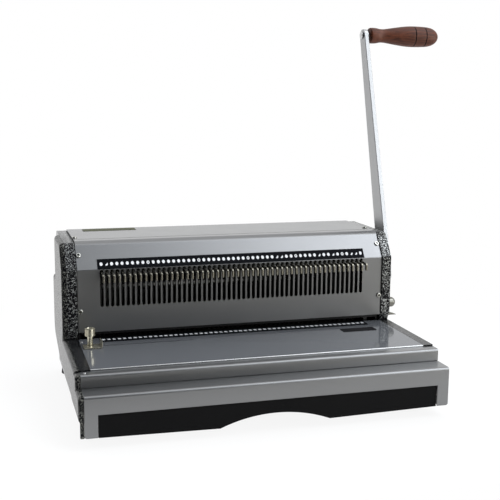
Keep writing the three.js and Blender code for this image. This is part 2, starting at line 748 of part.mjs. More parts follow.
function addTable() {
  const rear = FACE_Y + SHEET;
  const low = TABLE_TOP - TABLE_T;
  const plate = block(-INNER_HALF, INNER_HALF, TABLE_Y, rear, low, TABLE_TOP);
  const flanges = sideBlocks(INNER_HALF - TABLE_T, INNER_HALF, TABLE_Y + RAIL_LIP + GAP, rear,
    TABLE_TOP - TABLE_FLANGE, low + TABLE_T / 2);
  const start = GUIDE_SLOT_START - INNER_HALF;
  const slot = block(start, start + GUIDE_SLOT_LENGTH, GUIDE_SLOT_Y - GUIDE_SLOT_W / 2,
    GUIDE_SLOT_Y + GUIDE_SLOT_W / 2, low - OVERRUN, TABLE_TOP + OVERRUN);
  add('paper_table', cutFrom(joined(plate, ...flanges), slot), SILVER);
}

function railLine() {
  const roundY = RAIL_Y + RAIL_ROUND;
  const under = TABLE_TOP - TABLE_T - GAP;
  return [[RAIL_Y, FASCIA_TOP + GAP],
    ...arc(roundY, RAIL_TOP - RAIL_ROUND, RAIL_ROUND, Math.PI, Math.PI / 2, FOLD_STEPS),
    [TABLE_Y - SHEET, RAIL_TOP], [TABLE_Y - GAP, under], [TABLE_Y + RAIL_LIP, under]];
}

// At each end the rail is only a skin over the side casing's step
function addRail() {
  const rail = alongX(sheetSection(railLine()), -CASE_OUT, CASE_OUT);
  const out = CASE_OUT + OVERRUN;
  const rear = TABLE_Y + RAIL_LIP + OVERRUN;
  const inside = sideBlocks(INNER_HALF, out, RAIL_Y + SHEET + GAP / 2, rear, FASCIA_TOP,
    RAIL_TOP - SHEET - GAP / 2);
  const lip = sideBlocks(INNER_HALF, out, TABLE_Y - 2 * GAP, rear, FASCIA_TOP, TABLE_TOP);
  add('front_rail', cutFrom(rail, ...inside, ...lip), SILVER);
}

function addFascia() {
  const round = arc(FASCIA_ROUND, FASCIA_TOP - FASCIA_ROUND, FASCIA_ROUND, Math.PI, Math.PI / 2, FOLD_STEPS);
  const line = [[0, FOOT_H], ...round, [TABLE_Y - GAP, FASCIA_TOP]];
  const sheet = alongX(sheetSection(line), -CASE_OUT, CASE_OUT);
  const half = DRAWER_HALF + SLIDE;
  const mouth = block(-half, half, -OVERRUN, SHEET + OVERRUN, FOOT_H - OVERRUN, DRAWER_TOP + SLIDE);
  const ends = sideBlocks(INNER_HALF, CASE_OUT + OVERRUN, RAIL_Y + SHEET, TABLE_Y,
    FASCIA_TOP - SHEET - OVERRUN, FASCIA_TOP + OVERRUN);
  add('front_fascia', cutFrom(sheet, mouth, ...ends), SILVER);
}

// One strip lies on the slope just above the fold, and one on the table behind the guide slot
function addStrips() {
  const half = ROW_HALF + STRIP_END;
  const out = new THREE.Vector3(0, -Math.cos(FACE_LEAN), Math.sin(FACE_LEAN));
  const up = new THREE.Vector3(0, Math.sin(FACE_LEAN), Math.cos(FACE_LEAN));
  const place = new THREE.Vector3(0, FACE_Y, FOLD_Z).addScaledVector(out, GAP / 2);
  place.addScaledVector(up, STRIP_LIFT);
  const strip = block(-half, half, -STRIP_T, 0, 0, STRIP_H).rotateX(-FACE_LEAN);
  add('number_strip', strip.translate(place.x, place.y, place.z), FILM);
  const front = FACE_Y - DOT_STRIP_FRONT;
  const low = TABLE_TOP + GAP / 2;
  const dots = block(-half, half, front, front + DOT_STRIP_DEPTH, low, low + STRIP_T);
  add('table_dot_strip', dots, FILM);
}

// Frame plates and the bushes that carry the shaft

function frameOutline() {
  const low = BASE_Z + BASE_T + GAP;
  const rear = FRAME_FRONT + FRAME_DEPTH;
  const clear = SCREW_L + SCREW_ROOM;
  return [[FRAME_FRONT, low], [rear, low], [rear, FRAME_TOP], [upperFaceY(FRAME_TOP) + clear, FRAME_TOP],
    [FRAME_FRONT, FOLD_Z - clear]];
}

function addFramePlate(side) {
  const [x0, x1] = span(side * FRAME_IN, side * FRAME_OUT);
  const bushHole = rodX(BUSH_R + GAP, x0 - OVERRUN, x1 + OVERRUN, PIVOT_Y, PIVOT_Z);
  const knobHole = rodX(KNOB_SHAFT_R + SLIDE, x0 - OVERRUN, x1 + OVERRUN, KNOB_Y, KNOB_Z);
  const holes = side > 0 ? [bushHole, knobHole] : [bushHole];
  add(`${sideName(side)}_frame_plate`, cutFrom(alongX(frameOutline(), x0, x1), ...holes), DARK_STEEL);
}

function addBush(side) {
  const [x0, x1] = span(side * (FRAME_IN - BUSH_PROUD), side * (FRAME_OUT + SHEET / 2));
  const ring = rodX(BUSH_R, x0, x1, PIVOT_Y, PIVOT_Z);
  const bore = rodX(SHAFT_R + GAP, x0 - OVERRUN, x1 + OVERRUN, PIVOT_Y, PIVOT_Z);
  add(`${sideName(side)}_shaft_bush`, cutFrom(ring, bore), BRASS);
}

// Die, punch guide and punches

function punchHoles(z0, z1) {
  const hole = (x) => rodZ(HOLE_R, x, PUNCH_Y, z0 - OVERRUN, z1 + OVERRUN, PUNCH_SIDES);
  return mergeGeometries(everyPunch(hole));
}

// The back gauge's riser comes up through a window in the punch guide
function addDies() {
  const half = FRAME_IN - GAP;
  const rear = DIE_FRONT + DIE_DEPTH;
  const low = DIE_TOP - DIE_T;
  const die = block(-half, half, DIE_FRONT, rear, low, DIE_TOP);
  add('die_plate', cutFrom(die, punchHoles(low, DIE_TOP)), STEEL);
  const [x0, x1] = riserEdges();
  const windowRear = GAUGE_Y + GAUGE_T + GAUGE_TRAVEL + SLIDE;
  const window = block(x0 - SLIDE, x1 + SLIDE, RISER_FRONT - SLIDE, windowRear, GUIDE_BOTTOM - OVERRUN,
    GUIDE_TOP + OVERRUN);
  const guide = block(-half, half, DIE_FRONT, rear, GUIDE_BOTTOM, GUIDE_TOP);
  add('punch_guide_plate', cutFrom(guide, punchHoles(GUIDE_BOTTOM, GUIDE_TOP), window), STEEL);
}

function addPunches() {
  const deep = HEAD_DEPTH / 2;
  const half = ROW_HALF + deep;
  const top = TAB_LOW - GAP;
  const tip = GUIDE_BOTTOM + PUNCH_UP;
  const head = block(-half, half, PUNCH_Y - deep, PUNCH_Y + deep, top - HEAD_H, top);
  const pin = (x) => rodZ(PUNCH_R, x, PUNCH_Y, tip, top - HEAD_H / 2, PUNCH_SIDES);
  add('punch_row', joined(head, mergeGeometries(everyPunch(pin))), STEEL);
}

// Pull tabs: an arm through the slot, with a turned-down tip

function tabOutline() {
  const back = PUNCH_Y + TAB_PULL;
  const tip = FACE_Y - TAB_REACH;
  const tipBack = tip + TAB_TIP;
  return [[back, TAB_TOP], [FACE_Y, TAB_TOP], [tip + TAB_FALL, TAB_TOP - TAB_FALL / 2],
    [tip, TAB_TOP - TAB_FALL], [tip, TAB_LOW - TAB_DROP], [tipBack, TAB_LOW - TAB_DROP],
    [tipBack, TAB_LOW - TAB_FALL / 2], [FACE_Y, TAB_LOW], [back, TAB_LOW]];
}

// The single tabs slide; the others share one bar behind the face
function addTabs() {
  const half = ROW_HALF + TAB_T / 2;
  const back = PUNCH_Y + TAB_PULL;
  const bar = block(-half, half, back, back + TAB_RAIL, TAB_LOW, TAB_TOP);
  const fixed = [];
  everyPunch((x, number) => {
    const tab = alongX(tabOutline(), x - TAB_T / 2, x + TAB_T / 2);
    if (SINGLE_TABS.includes(number)) {
      add(`pull_tab_${String(number).padStart(2, '0')}`, tab.translate(0, -GAP, 0), BRASS);
    } else {
      fixed.push(tab);
    }
  });
  add('pull_tab_comb', joined(bar, ...fixed), BRASS);
}

// Press beam, racks and guide rods

function gearPlace(side) {
  return span(side * (FRAME_IN - GEAR_IN), side * (FRAME_IN - GEAR_IN - GEAR_W));
}

function addBeam() {
  const half = FRAME_IN - BEAM_END;
  const low = BEAM_Z - OVERRUN;
  const high = BEAM_Z + BEAM_H + OVERRUN;
  const beam = block(-half, half, BEAM_FRONT, BEAM_BACK, BEAM_Z, BEAM_Z + BEAM_H);
  const holes = BOTH.map((side) => rodZ(ROD_R + SLIDE / 2, side * ROD_X, ROD_Y, low, high));
  const gearFront = PIVOT_Y - GEAR_R - GEAR_MODULE - SLIDE;
  const notches = BOTH.map((side) => {
    const [x0, x1] = gearPlace(side);
    return block(x0 - SLIDE, x1 + SLIDE, gearFront, BEAM_BACK + OVERRUN, low, high);
  });
  add('press_beam', cutFrom(beam, ...holes, ...notches), DARK_STEEL);
}

// As many teeth as fit between the pivot's height and the beam, and a few below it
function rackOutline() {
  const step = Math.PI * GEAR_MODULE;
  const top = BEAM_Z - GAP;
  const teethUp = Math.floor((top - PIVOT_Z) / step);
  const pitchY = PIVOT_Y - GEAR_R;
  const teeth = rackTeeth(GEAR_MODULE, -RACK_TEETH_DOWN, teethUp).map(([u, v]) => [pitchY + v, PIVOT_Z + u]);
  const root = pitchY - DEDENDUM_SHARE * GEAR_MODULE;
  const low = teeth[0][1] - step / 2;
  return [[root - RACK_BACK, low], [root, low], ...teeth, [root, top], [root - RACK_BACK, top]];
}

function addRack(side) {
  add(`${sideName(side)}_rack`, alongX(rackOutline(), ...gearPlace(side)), STEEL);
}

function addGuideRod(side) {
  const rod = rodZ(ROD_R, side * ROD_X, ROD_Y, GUIDE_TOP + GAP, BEAM_Z + BEAM_H + ROD_OVER);
  add(`${sideName(side)}_guide_rod`, rod, STEEL);
}

// Lever: shaft, gears, hub, bar, bolt, stud and grip turn together about the pivot

function leverOutline() {
  const taper = Math.asin((LEVER_ROOT_R - LEVER_TIP_R) / LEVER_LENGTH);
  const root = arc(0, 0, LEVER_ROOT_R, Math.PI - taper, 2 * Math.PI + taper, 2 * LEVER_ARC_STEPS);
  const tip = arc(0, LEVER_LENGTH, LEVER_TIP_R, taper, Math.PI - taper, LEVER_ARC_STEPS);
  return [...root, ...tip];
}

function addLever() {
  const pivot = new THREE.Group();
  pivot.position.set(0, PIVOT_Y, PIVOT_Z);
  pivot.rotation.x = -LEVER_LEAN;
  group.add(pivot);
  const left = -(FRAME_OUT + SHEET / 2);
  const shoulder = LEVER_IN - GAP;
  const shaftEnd = rodX(SHAFT_END_R, shoulder - JOIN, LEVER_OUT, 0, 0);
  add('main_shaft', joined(rodX(SHAFT_R, left, shoulder, 0, 0), shaftEnd), STEEL, pivot);
  const hub = rodX(HUB_R, CASE_OUT + GAP, shoulder, 0, 0);
  const hubBore = rodX(SHAFT_R + GAP, CASE_OUT - OVERRUN, LEVER_IN + OVERRUN, 0, 0);
  add('lever_hub', cutFrom(hub, hubBore), DARK_STEEL, pivot);
  const through = [LEVER_IN - OVERRUN, LEVER_OUT + OVERRUN];
  const shaftHole = rodX(SHAFT_END_R + GAP, ...through, 0, 0);
  const studHole = rodX(STUD_R + GAP, ...through, 0, LEVER_LENGTH);
  const bar = cutFrom(alongX(leverOutline(), LEVER_IN, LEVER_OUT), shaftHole, studHole);
  add('lever_bar', bar, SILVER, pivot);
  const head = [[0, 0], [0, BOLT_R], [BOLT_H / 2, BOLT_R], [BOLT_H, BOLT_TOP_SHARE * BOLT_R], [BOLT_H, 0]];
  add('lever_bolt', turnedX(head, SIDES).translate(LEVER_OUT + GAP, 0, 0), STEEL, pivot);
  addGears(pivot);
  addGrip(pivot);
}

// The gears are turned back by the lever's lean, so that their teeth mesh at rest
function addGears(pivot) {
  const outline = gearOutline(GEAR_MODULE, GEAR_TEETH);
  for (const side of BOTH) {
    const [x0, x1] = gearPlace(side);
    const blank = alongX(outline, x0, x1).rotateX(LEVER_LEAN);
    const bore = rodX(SHAFT_R + GAP, x0 - OVERRUN, x1 + OVERRUN, 0, 0);
    add(`${sideName(side)}_pinion`, cutFrom(blank, bore), DARK_STEEL, pivot);
  }
}

function profileOf(shares, length, radius, depth = 0) {
  return shares.map(([along, out]) => [along * length, out * radius - depth]);
}

function gripProfile() {
  const points = [
    ...profileOf(COLLAR_SHARES, GRIP_LENGTH, GRIP_COLLAR_R),
    ...profileOf(NECK_SHARES, GRIP_LENGTH, GRIP_NECK_R),
    ...profileOf(BELLY_SHARES, GRIP_LENGTH, GRIP_BELLY_R),
    ...profileOf(GROOVE_SHARES, GRIP_LENGTH, GRIP_BELLY_R, GRIP_GROOVE),
    ...profileOf(END_SHARES, GRIP_LENGTH, GRIP_END_R),
  ].sort((a, b) => a[0] - b[0]);
  return [[0, 0], ...points, [GRIP_LENGTH, 0]];
}

function addGrip(pivot) {
  const start = LEVER_OUT + GRIP_GAP;
  const wood = turnedX(gripProfile(), SIDES).translate(start, 0, 0);
  const bore = rodX(STUD_R + GAP, start - OVERRUN, start + STUD_IN + GAP, 0, 0);
  add('wood_grip', cutFrom(wood, bore), WOOD, pivot).position.set(0, 0, LEVER_LENGTH);
  const seat = LEVER_IN - GAP;
  const shank = rodX(STUD_R, seat - STUD_HEAD_T / 2, start + STUD_IN, 0, 0);
  const head = rodX(STUD_HEAD_R, seat - STUD_HEAD_T, seat, 0, 0);
  const collar = rodX(STUD_HEAD_R, LEVER_OUT + GAP, start - GAP, 0, 0);
  add('grip_stud', joined(shank, head, collar), STEEL, pivot).position.set(0, 0, LEVER_LENGTH);
}

// Edge guide on the table

function knurledOutline(radius, count) {
  return Array.from({ length: 2 * count }, (_, i) => {
    const angle = Math.PI * i / count;
    const r = i % 2 === 0 ? radius : radius - KNURL_DEPTH;
    return [r * Math.cos(angle), r * Math.sin(angle)];
  });
}

const GUIDE_SCREW_X = GUIDE_SCREW_IN - COVER_HALF;
const GUIDE_SEAT = TABLE_TOP + GAP;
const NUT_Z = TABLE_TOP - TABLE_T - GAP - NUT_T;

function addEdgeGuide() {
  const back = GUIDE_SLOT_Y + GUIDE_BACK;
  const front = back - GUIDE_D;
  const left = GUIDE_SCREW_X - GUIDE_SIDE;
  const right = left + GUIDE_L;
  const top = GUIDE_SEAT + GUIDE_PLATE_T;
  const plate = block(left, right, front, back, GUIDE_SEAT, top);
  const fence = block(right - FENCE_T, right, front, back, GUIDE_SEAT, GUIDE_SEAT + FENCE_H);
  const hole = rodZ(SHANK_R + GAP, GUIDE_SCREW_X, GUIDE_SLOT_Y, GUIDE_SEAT - OVERRUN, top + OVERRUN);
  add('edge_guide_bracket', cutFrom(joined(plate, fence), hole), BRASS);
}

function addThumbScrew() {
  const seat = GUIDE_SEAT + GUIDE_PLATE_T + GAP;
  const neck = seat + THUMB_STEM_H;
  const shank = rodZ(SHANK_R, 0, 0, NUT_Z, seat + JOIN, SCREW_SIDES);
  const stem = rodZ(THUMB_STEM_R, 0, 0, seat, neck + JOIN, SCREW_SIDES);
  const head = extruded(knurledOutline(THUMB_R, THUMB_KNURLS), THUMB_H).translate(0, 0, neck);
  const screw = add('edge_guide_thumb_screw', joined(shank, stem, head), BRASS);
  screw.position.set(GUIDE_SCREW_X, GUIDE_SLOT_Y, 0);
}

function addGuideNut() {
  const nut = rodZ(NUT_R, GUIDE_SCREW_X, GUIDE_SLOT_Y, NUT_Z, NUT_Z + NUT_T, HEX_SIDES);
  const thread = rodZ(SHANK_R + GAP, GUIDE_SCREW_X, GUIDE_SLOT_Y, NUT_Z - OVERRUN, NUT_Z + NUT_T + OVERRUN,
    SCREW_SIDES);
  add('edge_guide_nut', cutFrom(nut, thread), STEEL);
}

// Depth knob and back gauge: a small gear on the knob's shaft moves the gauge bar

function riserEdges() {
  const out = FRAME_IN - DEPTH_IN;
  return [out - DEPTH_W, out];
}

function addDepthKnob() {
  const [gearIn, gearOut] = riserEdges();
  const start = CASE_OUT + GAP;
  const shaft = rodX(KNOB_SHAFT_R, gearIn, start + JOIN, 0, 0, SCREW_SIDES);
  const gear = alongX(gearOutline(DEPTH_MODULE, DEPTH_TEETH), gearIn, gearOut);
  const grip = alongX(knurledOutline(KNOB_R, KNOB_KNURLS), start, start + KNOB_L * KNOB_GRIP_SHARE);
  const bulge = profileOf(DOME_SHARES, KNOB_L, KNOB_R);
  const dome = turnedX([[bulge[0][0], 0], ...bulge, [KNOB_L, 0]], SIDES).translate(start, 0, 0);
  add('depth_knob', joined(shaft, gear, grip, dome), STEEL).position.set(0, KNOB_Y, KNOB_Z);
}

function addBackGauge() {
  const [x0, x1] = riserEdges();
  const low = DIE_TOP + GAP;
  const rear = GAUGE_Y + GAUGE_T;
  const bar = block(-ROW_HALF - GAUGE_END, x1, GAUGE_Y, rear, low, GUIDE_BOTTOM - GAP);
  const pitchZ = KNOB_Z - DEPTH_R;
  const teeth = rackTeeth(DEPTH_MODULE, -GAUGE_TEETH, GAUGE_TEETH).map(([u, v]) => [KNOB_Y + u, pitchZ + v]);
  const outline = [[RISER_FRONT, low], [rear, low], [rear, RISER_TOP], ...teeth.reverse(),
    [RISER_FRONT, RISER_TOP]];
  add('back_gauge', joined(bar, alongX(outline, x0, x1)), STEEL);
}

function addPointer() {
  const start = CASE_OUT + GAP;
  const end = start + POINTER_L;
  const top = COVER_BOTTOM + POINTER_OVER;
  const low = top - POINTER_H;
  const front = KNOB_Y - POINTER_BEFORE;
  const outline = [[start, low], [end, low], [end, low + POINTER_TIP], [start, top]];
  add('depth_pointer', alongY(outline, front, front + POINTER_W), STEEL);
}

// Chip drawer and its runners

function drawerPanel() {
  const radius = (ARCH_HALF ** 2 + ARCH_H ** 2) / (2 * ARCH_H);
  const spread = Math.asin(ARCH_HALF / radius);
  const archZ = DRAWER_BOTTOM - ARCH_SAG + ARCH_H - radius;
  const arch = arc(0, archZ, radius, Math.PI / 2 + spread, Math.PI / 2 - spread, ARCH_STEPS);
  const outline = [[-DRAWER_HALF, DRAWER_BOTTOM], ...arch, [DRAWER_HALF, DRAWER_BOTTOM],
    [DRAWER_HALF, DRAWER_TOP], [-DRAWER_HALF, DRAWER_TOP]];
  return alongY(outline, DRAWER_RECESS, DRAWER_BACK);
}

function addDrawer() {
  const outer = block(-TRAY_HALF, TRAY_HALF, DRAWER_BACK - JOIN, TRAY_REAR, TRAY_BOTTOM, TRAY_TOP);
  const half = TRAY_HALF - TRAY_WALL;
  const inner = block(-half, half, DRAWER_BACK + TRAY_WALL, TRAY_REAR - TRAY_WALL, TRAY_BOTTOM + TRAY_WALL,
    TRAY_TOP + OVERRUN);
  const flanges = sideBlocks(TRAY_HALF - JOIN, TRAY_HALF + TRAY_FLANGE, RAIL_Y, TRAY_REAR,
    TRAY_TOP - TRAY_WALL, TRAY_TOP);
  add('chip_drawer', joined(drawerPanel(), cutFrom(outer, inner), ...flanges), BLACK);
}

function addRunners() {
  const top = TRAY_TOP - TRAY_WALL - GAP;
  const low = top - RUNNER_T;
  const end = FRAME_FRONT - RUNNER_SHORT;
  const shelves = sideBlocks(TRAY_HALF + SLIDE, INNER_HALF, RAIL_Y, end, low, top);
  const webs = sideBlocks(INNER_HALF - RUNNER_T, INNER_HALF, RAIL_Y, end, low, top + RUNNER_H);
  BOTH.forEach((side, i) => add(`${sideName(side)}_drawer_runner`, joined(shelves[i], webs[i]), DARK_STEEL));
}

addFeet();
addBase();
addOuterCover();
addCovers();
addScrews();
addTable();
addRail();
addFascia();
addStrips();
addDies();
addPunches();
addTabs();
addBeam();
addLever();
addEdgeGuide();
addThumbScrew();
addGuideNut();
addDepthKnob();
addBackGauge();
addPointer();
addDrawer();
addRunners();

for (const side of BOTH) {
  addCasing(side);
  addFramePlate(side);
  addBush(side);
  addRack(side);
  addGuideRod(side);
}

// The origin is the middle of the underside of the whole machine, lever included
const rightEnd = LEVER_OUT + GRIP_GAP + GRIP_LENGTH;
const leftEnd = -CASE_OUT - OUTER_T;
const gripRear = PIVOT_Y + LEVER_LENGTH * Math.sin(LEVER_LEAN) + GRIP_BELLY_R;
group.position.set(-(leftEnd + rightEnd) / 2, -Math.max(COVER_REAR, gripRear) / 2, 0);

export default group;
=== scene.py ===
"""Looks of the coil binding machine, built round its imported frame.

Pieces are modelled in the maker's millimetres and then settled into the frame's metres.
"""

from math import atan2, cos, hypot, pi, radians, sin, tan

import bmesh
import bpy
from mathutils import Matrix, Vector


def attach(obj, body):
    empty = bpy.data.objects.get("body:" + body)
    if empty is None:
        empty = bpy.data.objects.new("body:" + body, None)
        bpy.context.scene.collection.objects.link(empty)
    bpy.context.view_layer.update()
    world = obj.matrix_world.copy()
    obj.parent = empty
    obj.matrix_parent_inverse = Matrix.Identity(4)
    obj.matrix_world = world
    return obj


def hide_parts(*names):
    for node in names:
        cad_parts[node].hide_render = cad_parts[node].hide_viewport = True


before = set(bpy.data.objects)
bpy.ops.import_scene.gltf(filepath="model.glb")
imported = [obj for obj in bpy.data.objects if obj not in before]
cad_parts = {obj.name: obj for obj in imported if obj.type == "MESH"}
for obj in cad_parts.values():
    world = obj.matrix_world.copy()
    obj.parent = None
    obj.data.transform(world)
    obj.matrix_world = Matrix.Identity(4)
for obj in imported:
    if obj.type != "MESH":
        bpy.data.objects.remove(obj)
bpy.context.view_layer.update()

MM = 0.001
MIDDLE_X = 57.7
MIDDLE_Y = 156.8965

# Clearances and sheet
GAP = 0.3
SLIDE = 0.5
SHEET = 1.5

# Punch row
PITCH = 6.35
PUNCHES = 54
ROW_HALF = PITCH * (PUNCHES - 1) / 2
SINGLE_TABS = (2, 36, 37, 45, 48, 52, 53)
PUNCH_Y = 184

# Widths
COVER_HALF = ROW_HALF + 29.7
INNER_HALF = COVER_HALF - GAP
CASE_OUT = COVER_HALF + 12
CASE_WALL = 3.5
OUTER_T = 6
OUTER_ROUND = 4.8
OUTER_LOW_FRONT = 29.5
OUTER_LOW = 35.5
OUTER_LOW_Y = 76
OUTER_RISE_Y = 222
OUTER_RISE = radians(14.5)
OUTER_TURN_R = 22
OUTER_STEP_Z = 134
OUTER_POST_W = 4.2
OUTER_POST_D = 3
OUTER_FRONT_ROUND = 5.2
SIDES = ((-1, "left"), (1, "right"))

# Heights and depths of the body
BASE_Z = 13.3
FOOT_H = 13
FOOT_R = 9
FOOT_TOP_R = 7.5
FOOT_FRONT_Y = 56
FOOT_REAR_IN = 22
FOOT_SIDE_IN = 9.6
FASCIA_TOP = 58.6
FASCIA_ROUND = 3
RAIL_Y = 28.5
RAIL_TOP = 73
RAIL_ROUND = 3
TABLE_Y = 43.5
TABLE_TOP = 74.6
TABLE_T = 2
TABLE_FLANGE = 12
FACE_Y = 169
COVER_BOTTOM = 83
FOLD_Z = 159.5
FACE_LEAN = radians(35.7)
COVER_TOP = 191
COVER_REAR = 304
FOLD_R = 2
BEND_R = 11
REAR_BEND_R = 10
TOP_SEAM_Y = 207.5
SEAM_W = 1.6
REAR_EDGE = COVER_TOP - REAR_BEND_R - 4
SLOT_W = 4
SLOT_LENGTH = 46
TOP_BEND = BEND_R * tan((pi / 2 - FACE_LEAN) / 2)   # bend's start to the fold's corner
SLOPE_TOP_Y = FACE_Y + (COVER_TOP - FOLD_Z) * tan(FACE_LEAN)
CASE_FRONT_Y = FACE_Y - 2
CASE_TOP = COVER_TOP - 1.5
CASE_FOLD_Z = FOLD_Z + 2 * tan(FACE_LEAN / 2)
CASE_SLOPE_Y = CASE_FRONT_Y + (CASE_TOP - CASE_FOLD_Z) * tan(FACE_LEAN)
CASE_POCKET_LOW = 26
CASE_REAR_ROUND = 8.5
SIDE_SEAM_Y = 137.6
OUTER_REAR = COVER_REAR - 7
OUTER_HIGH_REAR = COVER_REAR - 38
FRAME_FRONT = FACE_Y + 6
BASE_FRONT_Y = 70

# Lever and its shaft
PIVOT_Y = 205
PIVOT_Z = 132
SHAFT_R = 7
LEVER_IN = CASE_OUT + 6
LEVER_OUT = LEVER_IN + 6
LEVER_LENGTH = 332
LEVER_LEAN = radians(16.5)
LEVER_ROOT_R = 15.5
LEVER_TIP_R = 8.4
GRIP_START = LEVER_OUT + 3.4
GRIP_LENGTH = 106
FIRST_GROOVE = 67.2
SECOND_GROOVE = 83.6
STUD_R = 3
STUD_IN = 60

HUB_R = 14
BOLT_R = 8
BOLT_H = 2.2

# Cover screws, and the places of the small screw heads on the left
SCREW_R = 3
SCREW_H = 1.6
SCREW_IN = 3.6
SCREW_LOW_UP = 26
SCREW_HIGH_UP = 20
SCREW_TOP_IN = 83
TABLE_SCREW = (-195.2, 155.5)
RAIL_SCREW = (-205, 36.5)

# Edge guide
GUIDE_X = 10.7 - COVER_HALF
GUIDE_Y = 136
GUIDE_SEAT = TABLE_TOP + GAP
GUIDE_LEFT = GUIDE_X - 8.3
GUIDE_RIGHT = GUIDE_LEFT + 21.6
GUIDE_DEPTH = 17
GUIDE_UP = 8.2
GUIDE_T = 1.6
THUMB_R = 6
THUMB_H = 8.6
THUMB_NECK = 11
GUIDE_SLOT_W = 3.6
GUIDE_SLOT_L = 130

# Depth knob
KNOB_Y = PUNCH_Y - 1
KNOB_Z = 95.4
KNOB_R = 6.6
KNOB_L = 14
KNOB_SHAFT_R = 2.5

# Depth pointer
POINTER_L = 13.5
POINTER_W = 5
POINTER_H = 5.5
POINTER_DROP = 4.7

# Pull tabs
TAB_T = 2
TAB_TIP = FACE_Y - 19
TAB_TIP_T = 3.4
TAB_DROP = 7.4
TAB_BACK = PUNCH_Y + 6
TAB_LOW = 153.8
TAB_TOP = 157.2

# Drawer
DRAWER_HALF = CASE_OUT - 14.6
DRAWER_BOTTOM = 12.4
DRAWER_TOP = DRAWER_BOTTOM + 25
DRAWER_RECESS = 1.6
DRAWER_BACK = DRAWER_RECESS + 3
ARCH_HALF = 63.5
ARCH_H = 12.4
ARCH_SAG = 2.4
TRAY_HALF = DRAWER_HALF - 8.4
TRAY_TOP = DRAWER_TOP - 0.8
TRAY_H = 11.1
TRAY_BOTTOM = TRAY_TOP - TRAY_H
TRAY_WALL = 2
TRAY_REAR = PUNCH_Y + 20
TRAY_FLANGE = 4

FRONT = Vector((0, -1, 0))
UP = Vector((0, 0, 1))
SLOPE_OUT = Vector((0, -cos(FACE_LEAN), sin(FACE_LEAN)))
SLOPE_UP = Vector((0, sin(FACE_LEAN), cos(FACE_LEAN)))
LEVEL = Matrix.Identity(3)


# Modelling by hand: each helper is one step at the bench

def take(piece):
    """Selects one piece and nothing else."""
    bpy.ops.object.select_all(action="DESELECT")
    piece.select_set(True)
    bpy.context.view_layer.objects.active = piece


def open_mesh(piece, kind="FACE"):
    take(piece)
    bpy.ops.object.mode_set(mode="EDIT")
    bpy.ops.mesh.select_mode(type=kind)
    bpy.ops.mesh.select_all(action="DESELECT")
    return bmesh.from_edit_mesh(piece.data)


def close_mesh():
    bpy.ops.object.mode_set(mode="OBJECT")


def pick_faces(piece, test):
    """Opens a piece and selects the faces whose middle and normal pass a test."""
    shape = open_mesh(piece, "FACE")
    chosen = [face for face in shape.faces if test(face.calc_center_median(), face.normal)]
    mark(piece, shape, chosen)


def pick_edges(piece, test):
    """Opens a piece and selects the edges whose middle and direction pass a test."""
    shape = open_mesh(piece, "EDGE")
    chosen = []
    for edge in shape.edges:
        start, end = (corner.co for corner in edge.verts)
        if test((start + end) / 2, (end - start).normalized()):
            chosen.append(edge)
    mark(piece, shape, chosen)


def pick_corners(piece, test):
    shape = open_mesh(piece, "VERT")
    mark(piece, shape, [corner for corner in shape.verts if test(corner.co)])


def mark(piece, shape, chosen):
    if not chosen:
        raise ValueError(f"nothing was selected on {piece.name}")
    for part in chosen:
        part.select_set(True)
    shape.select_flush_mode()
    bmesh.update_edit_mesh(piece.data)


def apply_place(piece):
    take(piece)
    bpy.ops.object.transform_apply(location=True, rotation=True, scale=True)
    return piece


def named(name):
    piece = bpy.context.object
    piece.name = name
    piece.data.name = name
    return apply_place(piece)


def block(name, low, high):
    middle = [(a + b) / 2 for a, b in zip(low, high)]
    bpy.ops.mesh.primitive_cube_add(size=1, location=middle)
    bpy.context.object.scale = [b - a for a, b in zip(low, high)]
    return named(name)


def rod(name, radius, start, end, sides=48):
    """A round bar from one point to another."""
    start, end = Vector(start), Vector(end)
    way = end - start
    turn = UP.rotation_difference(way).to_euler()
    bpy.ops.mesh.primitive_cylinder_add(
        vertices=sides, radius=radius, depth=way.length, location=(start + end) / 2, rotation=turn)
    return named(name)


def rod_x(name, radius, start, end, sides=48):
    return rod(name, radius, (start, 0, 0), (end, 0, 0), sides)


def trace(name, points, closed=False):
    """A line of edges: a plane merged to one corner, which is extruded from point to point."""
    points = [Vector(point) for point in points]
    bpy.ops.mesh.primitive_plane_add(size=1, location=points[0])
    piece = named(name)
    open_mesh(piece, "VERT")
    bpy.ops.mesh.select_all(action="SELECT")
    bpy.ops.mesh.merge(type="CENTER")
    ring = points + points[:1] if closed else points
    for here, there in zip(ring, ring[1:]):
        bpy.ops.mesh.extrude_region_move(TRANSFORM_OT_translate={"value": there - here})
    if closed:
        bpy.ops.mesh.select_all(action="SELECT")
        bpy.ops.mesh.remove_doubles(threshold=0.001)
        bpy.ops.mesh.edge_face_add()
    close_mesh()
    return piece


def draw_out(piece, way):
    """Extrudes a whole outline or line of edges."""
    open_mesh(piece, "FACE" if piece.data.polygons else "EDGE")
    bpy.ops.mesh.select_all(action="SELECT")
    bpy.ops.mesh.extrude_region_move(TRANSFORM_OT_translate={"value": way})
    close_mesh()
    return piece


def push_faces(piece, test, way):
    pick_faces(piece, test)
    bpy.ops.mesh.extrude_region_move(TRANSFORM_OT_translate={"value": way})
    close_mesh()
    return piece


def drop_faces(piece, test):
    pick_faces(piece, test)
    bpy.ops.mesh.delete(type="FACE")
    close_mesh()
    return piece


def score(piece, point, normal):
    """Cuts a new line of edges round the piece, and keeps both sides."""
    open_mesh(piece, "FACE")
    bpy.ops.mesh.select_all(action="SELECT")
    bpy.ops.mesh.bisect(plane_co=point, plane_no=normal)
    close_mesh()
    return piece


def round_off(piece, test, size, steps=4):
    """Bevels the edges that pass a test."""
    pick_edges(piece, test)
    bpy.ops.mesh.bevel(offset=size, offset_type="OFFSET", segments=steps, profile=0.5, affect="EDGES")
    close_mesh()
    return piece


